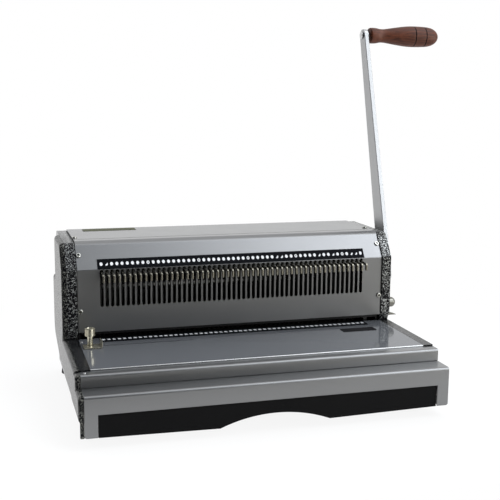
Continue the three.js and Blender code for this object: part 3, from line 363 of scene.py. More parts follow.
def step_in(piece, test, thickness, depth):
    """Insets the chosen faces, and moves them along their normal."""
    pick_faces(piece, test)
    bpy.ops.mesh.inset(thickness=thickness, depth=depth, use_even_offset=True, use_boundary=True)
    close_mesh()
    return piece


def face_out(piece, test=None, way=None):
    """Turns the faces outwards: a closed body by itself, an open sheet by one of its faces."""
    open_mesh(piece, "FACE")
    bpy.ops.mesh.select_all(action="SELECT")
    bpy.ops.mesh.normals_make_consistent(inside=False)
    shape = bmesh.from_edit_mesh(piece.data)
    if way is not None:
        sample = next(face for face in shape.faces if test(face.calc_center_median()))
        if sample.normal.dot(way) < 0:
            bpy.ops.mesh.flip_normals()
    close_mesh()
    return piece


def drawn_along_x(name, start, end, outline, closed=False):
    """An outline of (y, z) that is drawn out along X: a sheet, or a body where it is closed."""
    piece = trace(name, [(start, y, z) for y, z in outline], closed)
    draw_out(piece, (end - start, 0, 0))
    return face_out(piece) if closed else piece


def use(piece, kind, **settings):
    """Adds a modifier and applies it."""
    take(piece)
    bpy.ops.object.modifier_add(type=kind)
    modifier = piece.modifiers[-1]
    for name, value in settings.items():
        setattr(modifier, name, value)
    bpy.ops.object.modifier_apply(modifier=modifier.name)
    return piece


def thicken(piece, thickness=SHEET):
    return use(piece, "SOLIDIFY", thickness=thickness, offset=-1, use_even_offset=True)


def carve(piece, *tools, union=False):
    """Cuts the tools out of a piece, or joins them to it, and puts the tools away."""
    for tool in tools:
        use(piece, "BOOLEAN", object=tool, operation="UNION" if union else "DIFFERENCE", solver="EXACT")
        bpy.data.objects.remove(tool)
    return piece


def ease(piece, width, steps=2):
    """Takes the sharpness off every edge that is left."""
    return use(piece, "BEVEL", width=width, segments=steps, limit_method="ANGLE",
               angle_limit=radians(50), use_clamp_overlap=True)


def smooth(piece, angle=35):
    """Smooth shading up to an angle, led by the large faces, so that they stay flat to the eye."""
    take(piece)
    bpy.ops.object.shade_smooth_by_angle(angle=radians(angle))
    return use(piece, "WEIGHTED_NORMAL", weight=100, keep_sharp=True)


def copy_of(piece, name, way=(0, 0, 0)):
    """The same piece again with its own mesh."""
    take(piece)
    bpy.ops.object.duplicate()
    bpy.ops.transform.translate(value=way)
    return named(name)


def join(name, pieces):
    bpy.ops.object.select_all(action="DESELECT")
    for piece in pieces:
        piece.select_set(True)
    bpy.context.view_layer.objects.active = pieces[0]
    bpy.ops.object.join()
    return named(name)


def placed(piece, place, turn=LEVEL):
    piece.matrix_world = Matrix.Translation(place) @ turn.to_4x4()
    return apply_place(piece)


def settle(piece, body, finish, slot, *nodes):
    """Brings a finished piece from millimetres into the frame, and hands it over."""
    piece.location = (-MIDDLE_X * MM, -MIDDLE_Y * MM, 0)
    piece.scale = (MM, MM, MM)
    apply_place(piece)
    piece.data.materials.clear()
    piece.data.materials.append(finish)
    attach(piece, body)
    if nodes:
        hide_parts(*nodes)


def deliver(piece, body, finish, slot, *nodes, width=0, steps=2, angle=35, at=None, turn=LEVEL):
    """Eases the edges where a width is given, smooths the shading, brings the piece to its place where
    one is given, and hands it over."""
    if width:
        ease(piece, width, steps)
    smooth(piece, angle)
    if at is not None:
        placed(piece, at, turn)
    settle(piece, body, finish, slot, *nodes)


def near(value, wanted, slack=0.05):
    return abs(value - wanted) < slack


def edges(axis=None, slack=0.05, **places):
    """A test for edges that run along an axis, or have their middle at the places given, or both."""
    def test(middle, way):
        return ((axis is None or abs(getattr(way, axis)) > 0.9)
                and all(near(getattr(middle, name), place, slack) for name, place in places.items()))
    return test


def off_axis(place):
    """How far a place is from a turned piece's axis, for a piece that stands along Z."""
    return hypot(place.x, place.y)


def punch_x(number):
    return (number - 1) * PITCH - ROW_HALF


# Materials

def maths(operation, turned=False):
    """A sum on Wires: one Math node. Turned, the Wire comes second."""
    def apply(wire, *others):
        values = (*others, wire) if turned else (wire, *others)
        return wire.finish.add("ShaderNodeMath", {"operation": operation}, dict(enumerate(values)))
    return apply


class Wire:
    """A value in a finish. Sums on it add Math nodes."""

    def __init__(self, finish, socket):
        self.finish = finish
        self.socket = socket

    __add__ = maths("ADD")
    __sub__ = maths("SUBTRACT")
    __rsub__ = maths("SUBTRACT", turned=True)
    __mul__ = maths("MULTIPLY")
    __truediv__ = maths("DIVIDE")
    __pow__ = maths("POWER")
    __abs__ = maths("ABSOLUTE")
    least = maths("MINIMUM")
    most = maths("MAXIMUM")
    part = maths("FRACT")
    whole = maths("FLOOR")

    def rise(self, low, high):
        """0 below low, 1 above high, and a soft step between. With high below low it falls."""
        return self.finish.add(
            "ShaderNodeMapRange", {"interpolation_type": "SMOOTHSTEP"},
            {"Value": self, "From Min": low, "From Max": high})


class Bench:
    """A node tree that is filled by hand."""

    def __init__(self, block):
        self.block = block
        block.use_nodes = True
        self.tree = block.node_tree
        self.tree.nodes.clear()

    def plug(self, socket, value):
        if isinstance(value, Wire):
            self.tree.links.new(value.socket, socket)
        elif isinstance(value, tuple) and len(value) == 3 and socket.type == "RGBA":
            socket.default_value = (*value, 1)
        else:
            socket.default_value = value

    def add(self, kind, settings=None, values=None, out=0):
        """Adds a node: its settings first, then the values or wires of its sockets."""
        node = self.tree.nodes.new(kind)
        for name, value in (settings or {}).items():
            if name == "stops":
                ramp = node.color_ramp.elements
                while len(ramp) < len(value):
                    ramp.new(0.5)
                for stop, (place, color) in zip(ramp, value):
                    stop.position = place
                    stop.color = (*color, 1)
            else:
                setattr(node, name, value)
        for name, value in (values or {}).items():
            self.plug(node.inputs[name], value)
        return None if out is None else Wire(self, node.outputs[out])

    def blend(self, factor, low, high):
        """One colour where the factor is 0, the other where it is 1."""
        return self.add("ShaderNodeMix", {"data_type": "RGBA"}, {0: factor, 6: low, 7: high}, out=2)


class Finish(Bench):
    """A painted or bare surface, made of nodes."""

    def __init__(self, name, color=(0.5, 0.5, 0.5), roughness=0.5, metallic=0.0, **fixed):
        super().__init__(bpy.data.materials.new(name))
        self.material = self.block
        output = self.tree.nodes.new("ShaderNodeOutputMaterial")
        self.shader = self.tree.nodes.new("ShaderNodeBsdfPrincipled")
        self.tree.links.new(self.shader.outputs[0], output.inputs["Surface"])
        self.put("Base Color", color)
        self.put("Roughness", roughness)
        self.put("Metallic", metallic)
        for socket, value in fixed.items():
            self.put(socket.replace("_", " "), value)
        self.material.diffuse_color = (*color, 1)

    def put(self, socket, value):
        self.plug(self.shader.inputs[socket], value)

    def color(self, factor, low, high):
        self.put("Base Color", self.blend(factor, low, high))

    def place(self, scale=(1, 1, 1)):
        """Object coordinates in metres, scaled for a pattern."""
        here = self.add("ShaderNodeTexCoord", out="Object")
        return self.add("ShaderNodeMapping", {}, {"Vector": here, "Scale": scale})

    def noise(self, scale, detail=2.0, roughness=0.5, place=None, out=0, distortion=0.0):
        return self.add("ShaderNodeTexNoise", {}, {
            "Vector": place or self.place(), "Scale": scale, "Detail": detail,
            "Roughness": roughness, "Distortion": distortion}, out=out)

    def axes(self):
        split = self.add("ShaderNodeSeparateXYZ", {}, {"Vector": self.place()})
        node = split.socket.node
        return [Wire(self, node.outputs[i]) for i in range(3)]

    def relief(self, height, distance, strength=1.0):
        bump = self.add("ShaderNodeBump", {}, {
            "Strength": strength, "Distance": distance, "Height": height})
        self.put("Normal", bump)


def grey(value, tint=(1, 1, 1)):
    return tuple(value * part for part in tint)


def silver_paint(name, tone, gloss, metallic=0.55, coat=0.0):
    """Fine metallic paint on sheet: flakes, a slight orange peel and faint handling marks."""
    paint = Finish(name, roughness=gloss, metallic=metallic, Coat_Weight=coat, Coat_Roughness=0.09)
    flakes = paint.noise(9000, 1.0)
    clouds = paint.noise(9, 3.0)
    dark = grey(tone * 0.93, (0.99, 1.0, 1.01))
    light = grey(tone * 1.05, (0.99, 1.0, 1.015))
    paint.color(flakes * 0.55 + clouds * 0.45, dark, light)
    rub = paint.noise(35, 4.0, 0.65)
    paint.put("Roughness", rub * 0.08 + clouds * 0.05 + (gloss - 0.065))
    paint.relief(paint.noise(1400, 2.0), 0.00002, 0.35)
    return paint.material


def gloss_paint(name, tone):
    """The smooth, slightly blue grey paint of the table."""
    paint = Finish(name, roughness=0.09, metallic=0.0)
    clouds = paint.noise(12, 3.0)
    flakes = paint.noise(6000, 1.0)
    tint = (0.96, 1.0, 1.08)
    paint.color(clouds * 0.6 + flakes * 0.4, grey(tone * 0.95, tint), grey(tone * 1.05, tint))
    paint.put("Roughness", paint.noise(45, 4.0, 0.6) * 0.05 + 0.065)
    paint.relief(paint.noise(900, 2.0), 0.00001, 0.3)
    return paint.material


def hammered_paint(name, gloss=0.2, pigment=(0.40, 0.41, 0.40)):
    """Black hammered paint: dimples, and pale pigment in broken worms between them, with less pigment as
    painted shade in some places.
    """
    paint = Finish(name, roughness=0.2, Specular_IOR_Level=gloss)
    x, y, z = paint.axes()
    here = paint.add("ShaderNodeTexCoord", out="Object")
    warp = paint.noise(420, 2.0, out="Color")
    moved = paint.add("ShaderNodeVectorMath", {"operation": "MULTIPLY_ADD"}, {
        0: warp, 1: (0.0010, 0.0010, 0.0010), 2: here})
    vein = abs(paint.noise(430, 1.0, 0.5, place=moved) - 0.5).rise(0.052, 0.034)
    broken = paint.noise(640, 1.0).rise(0.44, 0.49)
    # Painted shade: the narrow tops beside the table, and the casings at their height, get hardly any
    # pigment, so that they look as dark as they do in shade
    painted_shade_beside_table = (z.rise(0.0765, 0.0755) * z.rise(0.060, 0.062) * y.rise(-0.117, -0.115)
                    * x.rise(-0.2679, -0.2677))
    # Painted shade: the left side, away from the light on the right, gets less pigment than the right one
    left = x.rise(-0.20, -0.22)
    pale = vein * broken * (1 - painted_shade_beside_table * 0.8) * (1 - left * 0.35)
    paint.color(pale, (0.0045, 0.0045, 0.0055), pigment)
    paint.put("Metallic", pale * 0.5)
    paint.put("Roughness", pale * 0.12 + 0.16)
    paint.relief(paint.noise(400, 2.0, 0.5) + vein * 0.1, 0.0003, 0.5)
    return paint.material


def black_moulding(name):
    plastic = Finish(name, roughness=0.6, Specular_IOR_Level=0.06)
    grain = plastic.noise(2600, 3.0, 0.6)
    clouds = plastic.noise(14, 2.0)
    plastic.color(clouds, (0.0036, 0.0036, 0.0040), (0.0060, 0.0059, 0.0059))
    plastic.put("Roughness", grain * 0.14 + 0.52)
    plastic.relief(grain, 0.00004, 0.5)
    return plastic.material


def dark_steel(name, tone=0.16):
    steel = Finish(name, roughness=0.4, metallic=0.9)
    brush = steel.noise(1.0, 3.0, 0.6, place=steel.place((60, 2600, 2600)))
    oil = steel.noise(40, 3.0, 0.55)
    steel.color(oil * 0.7 + brush * 0.3, grey(tone * 0.7), grey(tone * 1.2))
    steel.put("Roughness", brush * 0.16 + oil * 0.1 + 0.26)
    steel.relief(brush, 0.00002, 0.3)
    return steel.material


def bright_steel(name, tone=0.55, tint=(1.0, 1.0, 1.01)):
    steel = Finish(name, roughness=0.28, metallic=1.0)
    brush = steel.noise(1.0, 3.0, 0.6, place=steel.place((120, 3200, 3200)))
    spots = steel.noise(160, 3.0, 0.55)
    low, high = grey(tone * 0.82, tint), grey(tone * 1.08, tint)
    steel.color(brush * 0.5 + spots * 0.5, low, high)
    steel.put("Roughness", brush * 0.14 + spots * 0.08 + 0.16)
    steel.relief(brush, 0.00002, 0.25)
    return steel.material


def screw_zinc(name):
    """Zinc plate with painted shade where it is sunk: the cross recess and the seat are darkened by ambient
    occlusion.
    """
    plate = Finish(name, roughness=0.28, metallic=1.0)
    open_air_for_painted_shade = plate.add("ShaderNodeAmbientOcclusion", {"samples": 8}, {"Distance": 0.002}, out="AO")
    patches = plate.noise(300, 3.0, 0.6)
    zinc = plate.blend(patches, (0.48, 0.48, 0.45), (0.62, 0.62, 0.58))
    # Painted shade: the zinc turns near black where ambient occlusion finds the head sunk
    plate.color(open_air_for_painted_shade.rise(0.45, 0.85), (0.012, 0.012, 0.010), zinc)
    plate.put("Roughness", patches * 0.15 + 0.2)
    return plate.material


def yellow_zinc(name, low=(0.46, 0.43, 0.33), high=(0.70, 0.67, 0.55), gloss=0.18):
    """Dull yellow zinc plate with a slightly uneven colour."""
    plate = Finish(name, roughness=0.3, metallic=0.9)
    patches = plate.noise(180, 3.0, 0.6)
    fine = plate.noise(2600, 2.0)
    plate.color(patches * 0.7 + fine * 0.3, low, high)
    plate.put("Roughness", patches * 0.12 + fine * 0.08 + gloss)
    plate.relief(fine, 0.00002, 0.3)
    return plate.material


def turned_bronze(name):
    metal = Finish(name, roughness=0.35, metallic=1.0)
    rings = metal.noise(1.0, 2.0, place=metal.place((9000, 40, 40)))
    metal.color(rings, (0.36, 0.24, 0.10), (0.55, 0.40, 0.20))
    metal.put("Roughness", rings * 0.2 + 0.22)
    metal.relief(rings, 0.00003, 0.3)
    return metal.material


def foot_rubber(name):
    rubber = Finish(name, roughness=0.85)
    dust = rubber.noise(300, 4.0, 0.6)
    rubber.color(dust.rise(0.4, 0.75), (0.010, 0.010, 0.010), (0.028, 0.027, 0.026))
    rubber.put("Roughness", dust * 0.15 + 0.75)
    rubber.relief(rubber.noise(2200, 2.0), 0.00006, 0.4)
    return rubber.material


def grip_wood(name):
    """Stained, lacquered hardwood with the grain along the grip and dark turned grooves."""
    wood = Finish(name, roughness=0.45, Specular_IOR_Level=0.2)
    along = wood.place((28, 420, 420))
    streak = wood.noise(1.0, 5.0, 0.62, place=along, distortion=0.4)
    fine = wood.noise(1.0, 3.0, 0.6, place=wood.place((130, 2400, 2400)))
    broad = wood.noise(1.0, 2.0, 0.5, place=wood.place((9, 60, 60)))
    mix = streak * 0.55 + fine * 0.25 + broad * 0.2
    base = wood.add("ShaderNodeValToRGB", {"stops": [
        (0.30, (0.026, 0.008, 0.005)), (0.46, (0.070, 0.022, 0.012)),
        (0.58, (0.120, 0.036, 0.018)), (0.75, (0.180, 0.058, 0.028))]}, {"Fac": mix})
    x, _, _ = wood.axes()
    near_first = abs(x - (GRIP_START + FIRST_GROOVE - MIDDLE_X) * MM)
    near_second = abs(x - (GRIP_START + SECOND_GROOVE - MIDDLE_X) * MM)
    groove = near_first.least(near_second).rise(0.0011, 0.0004)
    wood.color(groove, base, (0.012, 0.005, 0.004))
    wood.put("Roughness", fine * 0.18 + 0.36)
    wood.relief(fine * 0.6 + streak * 0.4, 0.00006, 0.35)
    return wood.material


def black_film(name):
    return Finish(name, color=(0.008, 0.009, 0.011), roughness=0.5, Specular_IOR_Level=0.03)


def by_punch(x):
    """The punch's number, from 0, how far x is from its middle in mm, and 1 along the row, 0 beyond."""
    count = (x + (MIDDLE_X + ROW_HALF) * MM) / (PITCH * MM) + 0.5
    number = count.whole()
    on_row = number.rise(-0.6, -0.4) * number.rise(PUNCHES - 0.4, PUNCHES - 0.6)
    return number, (count.part() - 0.5) * PITCH, on_row


def dots_film(name, above_fold):
    """The black strip over the slots: a white dot for each punch, rings and half dots at some."""
    film = black_film(name)
    x, y, z = film.axes()
    number, side, on_row = by_punch(x)
    origin = (FACE_Y - MIDDLE_Y) * MM * SLOPE_UP.y + FOLD_Z * MM * SLOPE_UP.z
    height = (y * SLOPE_UP.y + z * SLOPE_UP.z - origin) * (1 / MM) - above_fold
    tall = height * 0.80
    from_middle = (side * side + tall * tall) ** 0.5
    dot = from_middle.rise(1.98, 1.70)
    fold = number / 10
    tenth = (abs((fold + 0.05).part() - 0.05 - 0.9)).rise(0.04, 0.02)
    inside = tenth * from_middle.rise(1.05, 0.75)
    half = (side * 0.75 + height * -0.66).rise(-0.25, 0.15)
    chosen = None
    for single in SINGLE_TABS:
        hit = abs(number - (single - 1)).rise(0.6, 0.4)
        chosen = hit if chosen is None else chosen.most(hit)
    shown = dot * (1 - inside * 0.75) * (1 - chosen * (1 - half))
    film.color(shown * on_row, (0.003, 0.0035, 0.005), (0.74, 0.75, 0.77))
    film.put("Roughness", film.noise(700, 2.0) * 0.12 + 0.36)
    return film.material


def dashes_film(name, middle_y):
    """The black strip on the table: a short light dash for each punch."""
    film = black_film(name)
    x, y, _ = film.axes()
    _, side, on_row = by_punch(x)
    depth = (y + (MIDDLE_Y - middle_y) * MM) * (1 / MM)
    dot = abs(side).rise(1.95, 1.7) * abs(depth).rise(3.0, 2.6)
    film.color(dot * on_row, (0.004, 0.0045, 0.006), (0.62, 0.63, 0.64))
    film.put("Roughness", film.noise(700, 2.0) * 0.12 + 0.3)
    return film.material


def plain_plate(name, low, high):
    plate = Finish(name, roughness=0.5, Specular_IOR_Level=0.03)
    clouds = plate.noise(120, 3.0, 0.6)
    plate.color(clouds, low, high)
    plate.put("Roughness", clouds * 0.15 + 0.33)
    return plate.material


SILVER = silver_paint("silver_sheet_paint", 0.216, 0.30, 0.85, 0.2)
TABLE_SILVER = gloss_paint("table_gloss_paint", 0.1075)
LEVER_SILVER = silver_paint("lever_silver_paint", 0.41, 0.32, 0.85)
TRIM = silver_paint("bright_trim", 0.46, 0.26, 0.95)
HAMMERED = hammered_paint("black_hammered_paint")
OUTER_HAMMERED = hammered_paint("side_hammered_paint", 0.04, (0.30, 0.30, 0.27))
BLACK = black_moulding("black_drawer_moulding")
STEEL = bright_steel("bright_zinc_steel", 0.62)
SCREW_ZINC = screw_zinc("screw_zinc_plate")
DULL_STEEL = bright_steel("dull_zinc_steel", 0.22, (1.0, 0.98, 0.88))
DARK = dark_steel("dark_oiled_steel", 0.05)
# Painted shade: the press inside the covers gets a near-black steel, so that it stays as dark as the shade
# seen through the slots
PAINTED_SHADE_INSIDE = dark_steel("near_black_steel_painted_shade", 0.018)
ZINC = yellow_zinc("yellow_zinc_plate")
TAB_ZINC = yellow_zinc("polished_tab_plate", (0.20, 0.19, 0.155), (0.33, 0.315, 0.265), 0.08)
BRONZE = turned_bronze("turned_bush_bronze")
RUBBER = foot_rubber("black_foot_rubber")
WOOD = grip_wood("stained_grip_wood")
DOTS = dots_film("number_strip_film", 7.0)
DASHES = dashes_film("table_strip_film", 160)
PLATE = plain_plate("dark_name_plate", (0.006, 0.006, 0.007), (0.010, 0.009, 0.010))
REAR_PLATE = plain_plate("olive_rear_label", (0.040, 0.042, 0.018), (0.075, 0.078, 0.036))


# Covers

def make_top_cover():
    left = 0.5 - INNER_HALF
    cover = drawn_along_x("top_cover_sheet", left, INNER_HALF, [
        (FACE_Y, COVER_BOTTOM), (FACE_Y, FOLD_Z), (SLOPE_TOP_Y, COVER_TOP), (COVER_REAR, COVER_TOP),
        (COVER_REAR, REAR_EDGE)])
    face_out(cover, lambda middle: middle.z < FOLD_Z, FRONT)
    round_off(cover, edges("x", z=FOLD_Z), FOLD_R * tan(FACE_LEAN / 2), 3)
    round_off(cover, edges("x", 1, y=SLOPE_TOP_Y), TOP_BEND, 10)
    round_off(cover, edges("x", 1, y=COVER_REAR, z=COVER_TOP), REAR_BEND_R, 10)
    thicken(cover)
    x = punch_x(1)
    half = SLOT_W / 2 + 0.15
    slots = block("slots", (x - half, FACE_Y - 2, FOLD_Z - SLOT_LENGTH),
                  (x + half, FACE_Y + SHEET + 2, FOLD_Z - 0.4))
    round_off(slots, edges("y"), half - 0.01, 6)
    use(slots, "ARRAY", count=PUNCHES, use_relative_offset=False, use_constant_offset=True,
        constant_offset_displace=(PITCH, 0, 0))
    seam = block("seam", (left - 1, TOP_SEAM_Y, COVER_TOP - 0.9),
                 (INNER_HALF + 1, TOP_SEAM_Y + SEAM_W, COVER_TOP + 1))
    carve(cover, slots, seam)
    deliver(cover, "frame", SILVER, "silver_sheet", "top_cover", width=0.2)


def make_rear_cover():
    sheet = block("rear_cover_sheet", (-INNER_HALF, COVER_REAR - SHEET, BASE_Z),
                  (INNER_HALF, COVER_REAR, REAR_EDGE - GAP))
    deliver(sheet, "frame", SILVER, "silver_sheet", "rear_cover", width=0.4)


# Casings

CASE_CORNERS = ((CASE_FRONT_Y, CASE_FOLD_Z, 1.2, 3), (CASE_SLOPE_Y, CASE_TOP, TOP_BEND, 10))
CASE_EDGE = {-1: 0.5, 1: 1.1}


def casing_outline(inset):
    return [
        (inset, BASE_Z), (inset, FASCIA_TOP - inset), (RAIL_Y + inset, FASCIA_TOP - inset),
        (RAIL_Y + inset, RAIL_TOP - inset), (TABLE_Y - GAP, RAIL_TOP - inset), (TABLE_Y - GAP, TABLE_TOP),
        (CASE_FRONT_Y + 6, TABLE_TOP), (CASE_FRONT_Y, TABLE_TOP + 12), (CASE_FRONT_Y, CASE_FOLD_Z),
        (CASE_SLOPE_Y, CASE_TOP), (COVER_REAR, CASE_TOP), (COVER_REAR, BASE_Z)]


def round_corners(case, *corners):
    """Rounds corners of the outline. Each is (y, z, size, steps)."""
    for y, z, size, steps in corners:
        round_off(case, edges("x", 2, y=y, z=z), size, steps)


def make_side_casing(side, name):
    inner, outer = side * COVER_HALF, side * CASE_OUT
    case = drawn_along_x(f"{name}_casing_shell", inner, outer, casing_outline(SHEET + GAP), closed=True)
    round_corners(case, *CASE_CORNERS, (COVER_REAR, CASE_TOP, CASE_REAR_ROUND, 6),
                  (0, FASCIA_TOP, FASCIA_ROUND, 3), (RAIL_Y, RAIL_TOP, RAIL_ROUND, 3))
    low, high = sorted((inner - side * 2, outer - side * CASE_WALL))
    rear = COVER_REAR - CASE_WALL
    upper = block("upper_pocket", (low, FRAME_FRONT, TABLE_TOP), (high, rear, CASE_TOP - CASE_POCKET_LOW))
    lower = block("lower_pocket", (low, BASE_FRONT_Y, BASE_Z + CASE_WALL),
                  (high, rear, TABLE_TOP - TABLE_FLANGE))
    carve(case, upper, lower)
    low, high = sorted((inner - side * 2, outer + side * 2))
    if side < 0:
        carve(case, block("top_seam", (low, SIDE_SEAM_Y, TABLE_TOP - 1),
                          (high, SIDE_SEAM_Y + SEAM_W, TABLE_TOP + 1)))
    else:
        shaft = rod("shaft_hole", SHAFT_R + SLIDE, (low, PIVOT_Y, PIVOT_Z), (high, PIVOT_Y, PIVOT_Z))
        knob = rod("knob_hole", KNOB_SHAFT_R + SLIDE, (low, KNOB_Y, KNOB_Z), (high, KNOB_Y, KNOB_Z), 24)
        carve(case, shaft, knob)
    deliver(case, "frame", HAMMERED, "hammered_paint", f"{name}_side_casing",
            width=CASE_EDGE[side], steps=3, angle=40)


def make_outer_cover():
    """It has the casing's front and top, and a lower edge that rises to the rear."""
    start = -CASE_OUT - GAP
    end = -CASE_OUT - OUTER_T
    corner = OUTER_LOW + (OUTER_REAR - OUTER_RISE_Y) * tan(OUTER_RISE)
    cover = drawn_along_x("left_outer_shell", start, end + OUTER_ROUND, [
        (0, OUTER_LOW_FRONT), *casing_outline(0)[1:-2], (OUTER_HIGH_REAR, CASE_TOP),
        (OUTER_HIGH_REAR, OUTER_STEP_Z), (OUTER_REAR, OUTER_STEP_Z), (OUTER_REAR, corner),
        (OUTER_RISE_Y, OUTER_LOW), (OUTER_LOW_Y + 10, OUTER_LOW), (OUTER_LOW_Y, OUTER_LOW_FRONT)],
        closed=True)
    low_round = OUTER_TURN_R * tan((pi / 2 - OUTER_RISE) / 2)
    round_corners(cover, *CASE_CORNERS, (OUTER_HIGH_REAR, CASE_TOP, 8, 6),
                  (0, FASCIA_TOP, OUTER_FRONT_ROUND, 5), (RAIL_Y, RAIL_TOP, OUTER_FRONT_ROUND, 5),
                  (OUTER_REAR, OUTER_STEP_Z, 6, 5), (OUTER_REAR, corner, low_round, 12))
    turns = [pi / 2 * i / 5 for i in range(6)]
    reach = [(1 - cos(turn), sin(turn)) for turn in turns]
    for (in0, out0), (in1, out1) in zip(reach, reach[1:]):
        step_in(cover, lambda middle, normal: normal.x < -0.99,
                (in1 - in0) * OUTER_ROUND, (out1 - out0) * OUTER_ROUND)
    post = block("post", (start - OUTER_POST_W, 0, BASE_Z),
                 (start, OUTER_POST_D, OUTER_LOW_FRONT + OUTER_ROUND))
    carve(cover, ease(post, 0.8, 3), union=True)
    deliver(cover, "frame", OUTER_HAMMERED, "hammered_paint", "left_outer_cover", angle=40)


# Front: fascia, rail and table

def make_fascia():
    fascia = drawn_along_x("front_fascia_sheet", -CASE_OUT, CASE_OUT, [
        (0, FOOT_H), (0, FASCIA_TOP), (TABLE_Y - GAP, FASCIA_TOP)])
    face_out(fascia, lambda middle: middle.z < FASCIA_TOP - 1, FRONT)
    half = DRAWER_HALF + SLIDE
    for x in (-INNER_HALF, -half, half, INNER_HALF):
        score(fascia, (x, 0, 0), (1, 0, 0))
    score(fascia, (0, 0, DRAWER_TOP + SLIDE), (0, 0, 1))
    score(fascia, (0, RAIL_Y + SHEET, 0), (0, 1, 0))
    drop_faces(fascia, lambda middle, normal: abs(middle.x) < half and middle.z < DRAWER_TOP)
    drop_faces(fascia, lambda middle, normal: abs(middle.x) > INNER_HALF and middle.y > RAIL_Y + SHEET)
    round_off(fascia, edges("x", y=0, z=FASCIA_TOP), FASCIA_ROUND, 6)
    thicken(fascia)
    round_off(fascia, lambda middle, way: abs(way.y) > 0.9 and near(abs(middle.x), CASE_OUT)
              and near(middle.z, FOOT_H), 2.5, 4)
    deliver(fascia, "frame", SILVER, "silver_sheet", "front_fascia", width=0.4, steps=3)


def make_rail():
    under = TABLE_TOP - TABLE_T - GAP
    rail = drawn_along_x("front_rail_sheet", -CASE_OUT, CASE_OUT, [
        (RAIL_Y, FASCIA_TOP + GAP), (RAIL_Y, RAIL_TOP), (TABLE_Y - SHEET, RAIL_TOP),
        (TABLE_Y - GAP, under), (TABLE_Y + 9, under)])
    face_out(rail, lambda middle: middle.z < RAIL_TOP - 1 and middle.y < RAIL_Y + 1, FRONT)
    for side in (-1, 1):
        score(rail, (side * INNER_HALF, 0, 0), (1, 0, 0))
    drop_faces(rail, lambda middle, normal: abs(middle.x) > INNER_HALF and middle.y > TABLE_Y - SHEET)
    round_off(rail, edges("x", y=RAIL_Y, z=RAIL_TOP), RAIL_ROUND, 6)
    thicken(rail, SHEET - 0.15)
    deliver(rail, "frame", SILVER, "silver_sheet", "front_rail", width=0.35, steps=3)


def make_table():
    table = block("paper_table_plate", (-INNER_HALF, TABLE_Y + 1, TABLE_TOP - TABLE_T),
                  (INNER_HALF, FACE_Y + SHEET, TABLE_TOP))
    for side in (-1, 1):
        score(table, (side * (INNER_HALF - TABLE_T), 0, 0), (1, 0, 0))
    score(table, (0, TABLE_Y + 9 + GAP, 0), (0, 1, 0))
    push_faces(table, lambda middle, normal: normal.z < -0.9 and abs(middle.x) > INNER_HALF - TABLE_T
               and middle.y > TABLE_Y + 10, (0, 0, TABLE_T - TABLE_FLANGE))
    start = 4 - INNER_HALF
    half = GUIDE_SLOT_W / 2
    slot = block("guide_slot", (start, GUIDE_Y - half, TABLE_TOP - 6),
                 (start + GUIDE_SLOT_L, GUIDE_Y + half, TABLE_TOP + 4))
    round_off(slot, edges("z"), half - 0.01, 6)
    carve(table, slot)
    deliver(table, "frame", TABLE_SILVER, "silver_sheet", "paper_table", width=0.3, steps=3)
    trim = block("table_front_trim", (-INNER_HALF, TABLE_Y, TABLE_TOP - TABLE_T),
                 (INNER_HALF, TABLE_Y + 1.2, TABLE_TOP))
    round_off(trim, edges("x", y=TABLE_Y, z=TABLE_TOP), 1.1, 6)
    deliver(trim, "frame", TRIM, "silver_sheet", angle=40)


def make_label(name, low, high, seat, height, corner, steps, width, finish):
    """A bare plate that lies just clear of the sheet below it."""
    label = block(name, (*low, seat + 0.02), (*high, seat + height))
    round_off(label, edges("z"), corner, steps)
    deliver(label, "frame", finish, "black_film", width=width)


def make_table_screw():
    """The small head that shows where the table is fixed beside the guide, and one on the rail."""
    x, y = TABLE_SCREW
    head = rod("table_fixing_screw", 1.7, (x, y, TABLE_TOP + 0.02), (x, y, TABLE_TOP + 0.9), 24)
    round_off(head, edges(z=TABLE_TOP + 0.9), 0.5, 3)
    second = copy_of(head, "rail_fixing_screw", (RAIL_SCREW[0] - x, RAIL_SCREW[1] - y, RAIL_TOP - TABLE_TOP))
    for piece in (head, second):
        deliver(piece, "frame", STEEL, "bright_steel", angle=40)


# Screws and feet

def make_screw():
    """A pan head with a cross recess, standing on its seat at the origin."""
    screw = rod("cover_screw", SCREW_R, (0, 0, 0), (0, 0, SCREW_H), 40)
    round_off(screw, edges(z=SCREW_H), 0.7, 4)
    for x, y in ((1.7, 0.75), (0.75, 1.7)):
        carve(screw, block("recess", (-x, -y, 0.2), (x, y, 3)))
    carve(screw, rod("shank", 1.5, (0, 0, -4), (0, 0, 0.2), 16), union=True)
    return smooth(screw, 40)


def make_screws():
    pattern = make_screw()
    high = FOLD_Z + SCREW_HIGH_UP * cos(FACE_LEAN)
    slope_y = FACE_Y + (high - FOLD_Z) * tan(FACE_LEAN)
    for side, name in SIDES:
        x = side * (COVER_HALF - SCREW_IN)
        seats = {
            "low": (Vector((x, FACE_Y, COVER_BOTTOM + SCREW_LOW_UP)), FRONT),
            "high": (Vector((x, slope_y, high)), SLOPE_OUT),
            "top": (Vector((x, COVER_REAR - SCREW_TOP_IN, COVER_TOP)), UP),
        }
        for level, (seat, out) in seats.items():
            screw = copy_of(pattern, f"screw_{name}_{level}")
            placed(screw, seat + out * 0.05, UP.rotation_difference(out).to_matrix())
            settle(screw, "frame", SCREW_ZINC, "bright_steel", f"cover_screw_{name}_{level}")
    bpy.data.objects.remove(pattern)


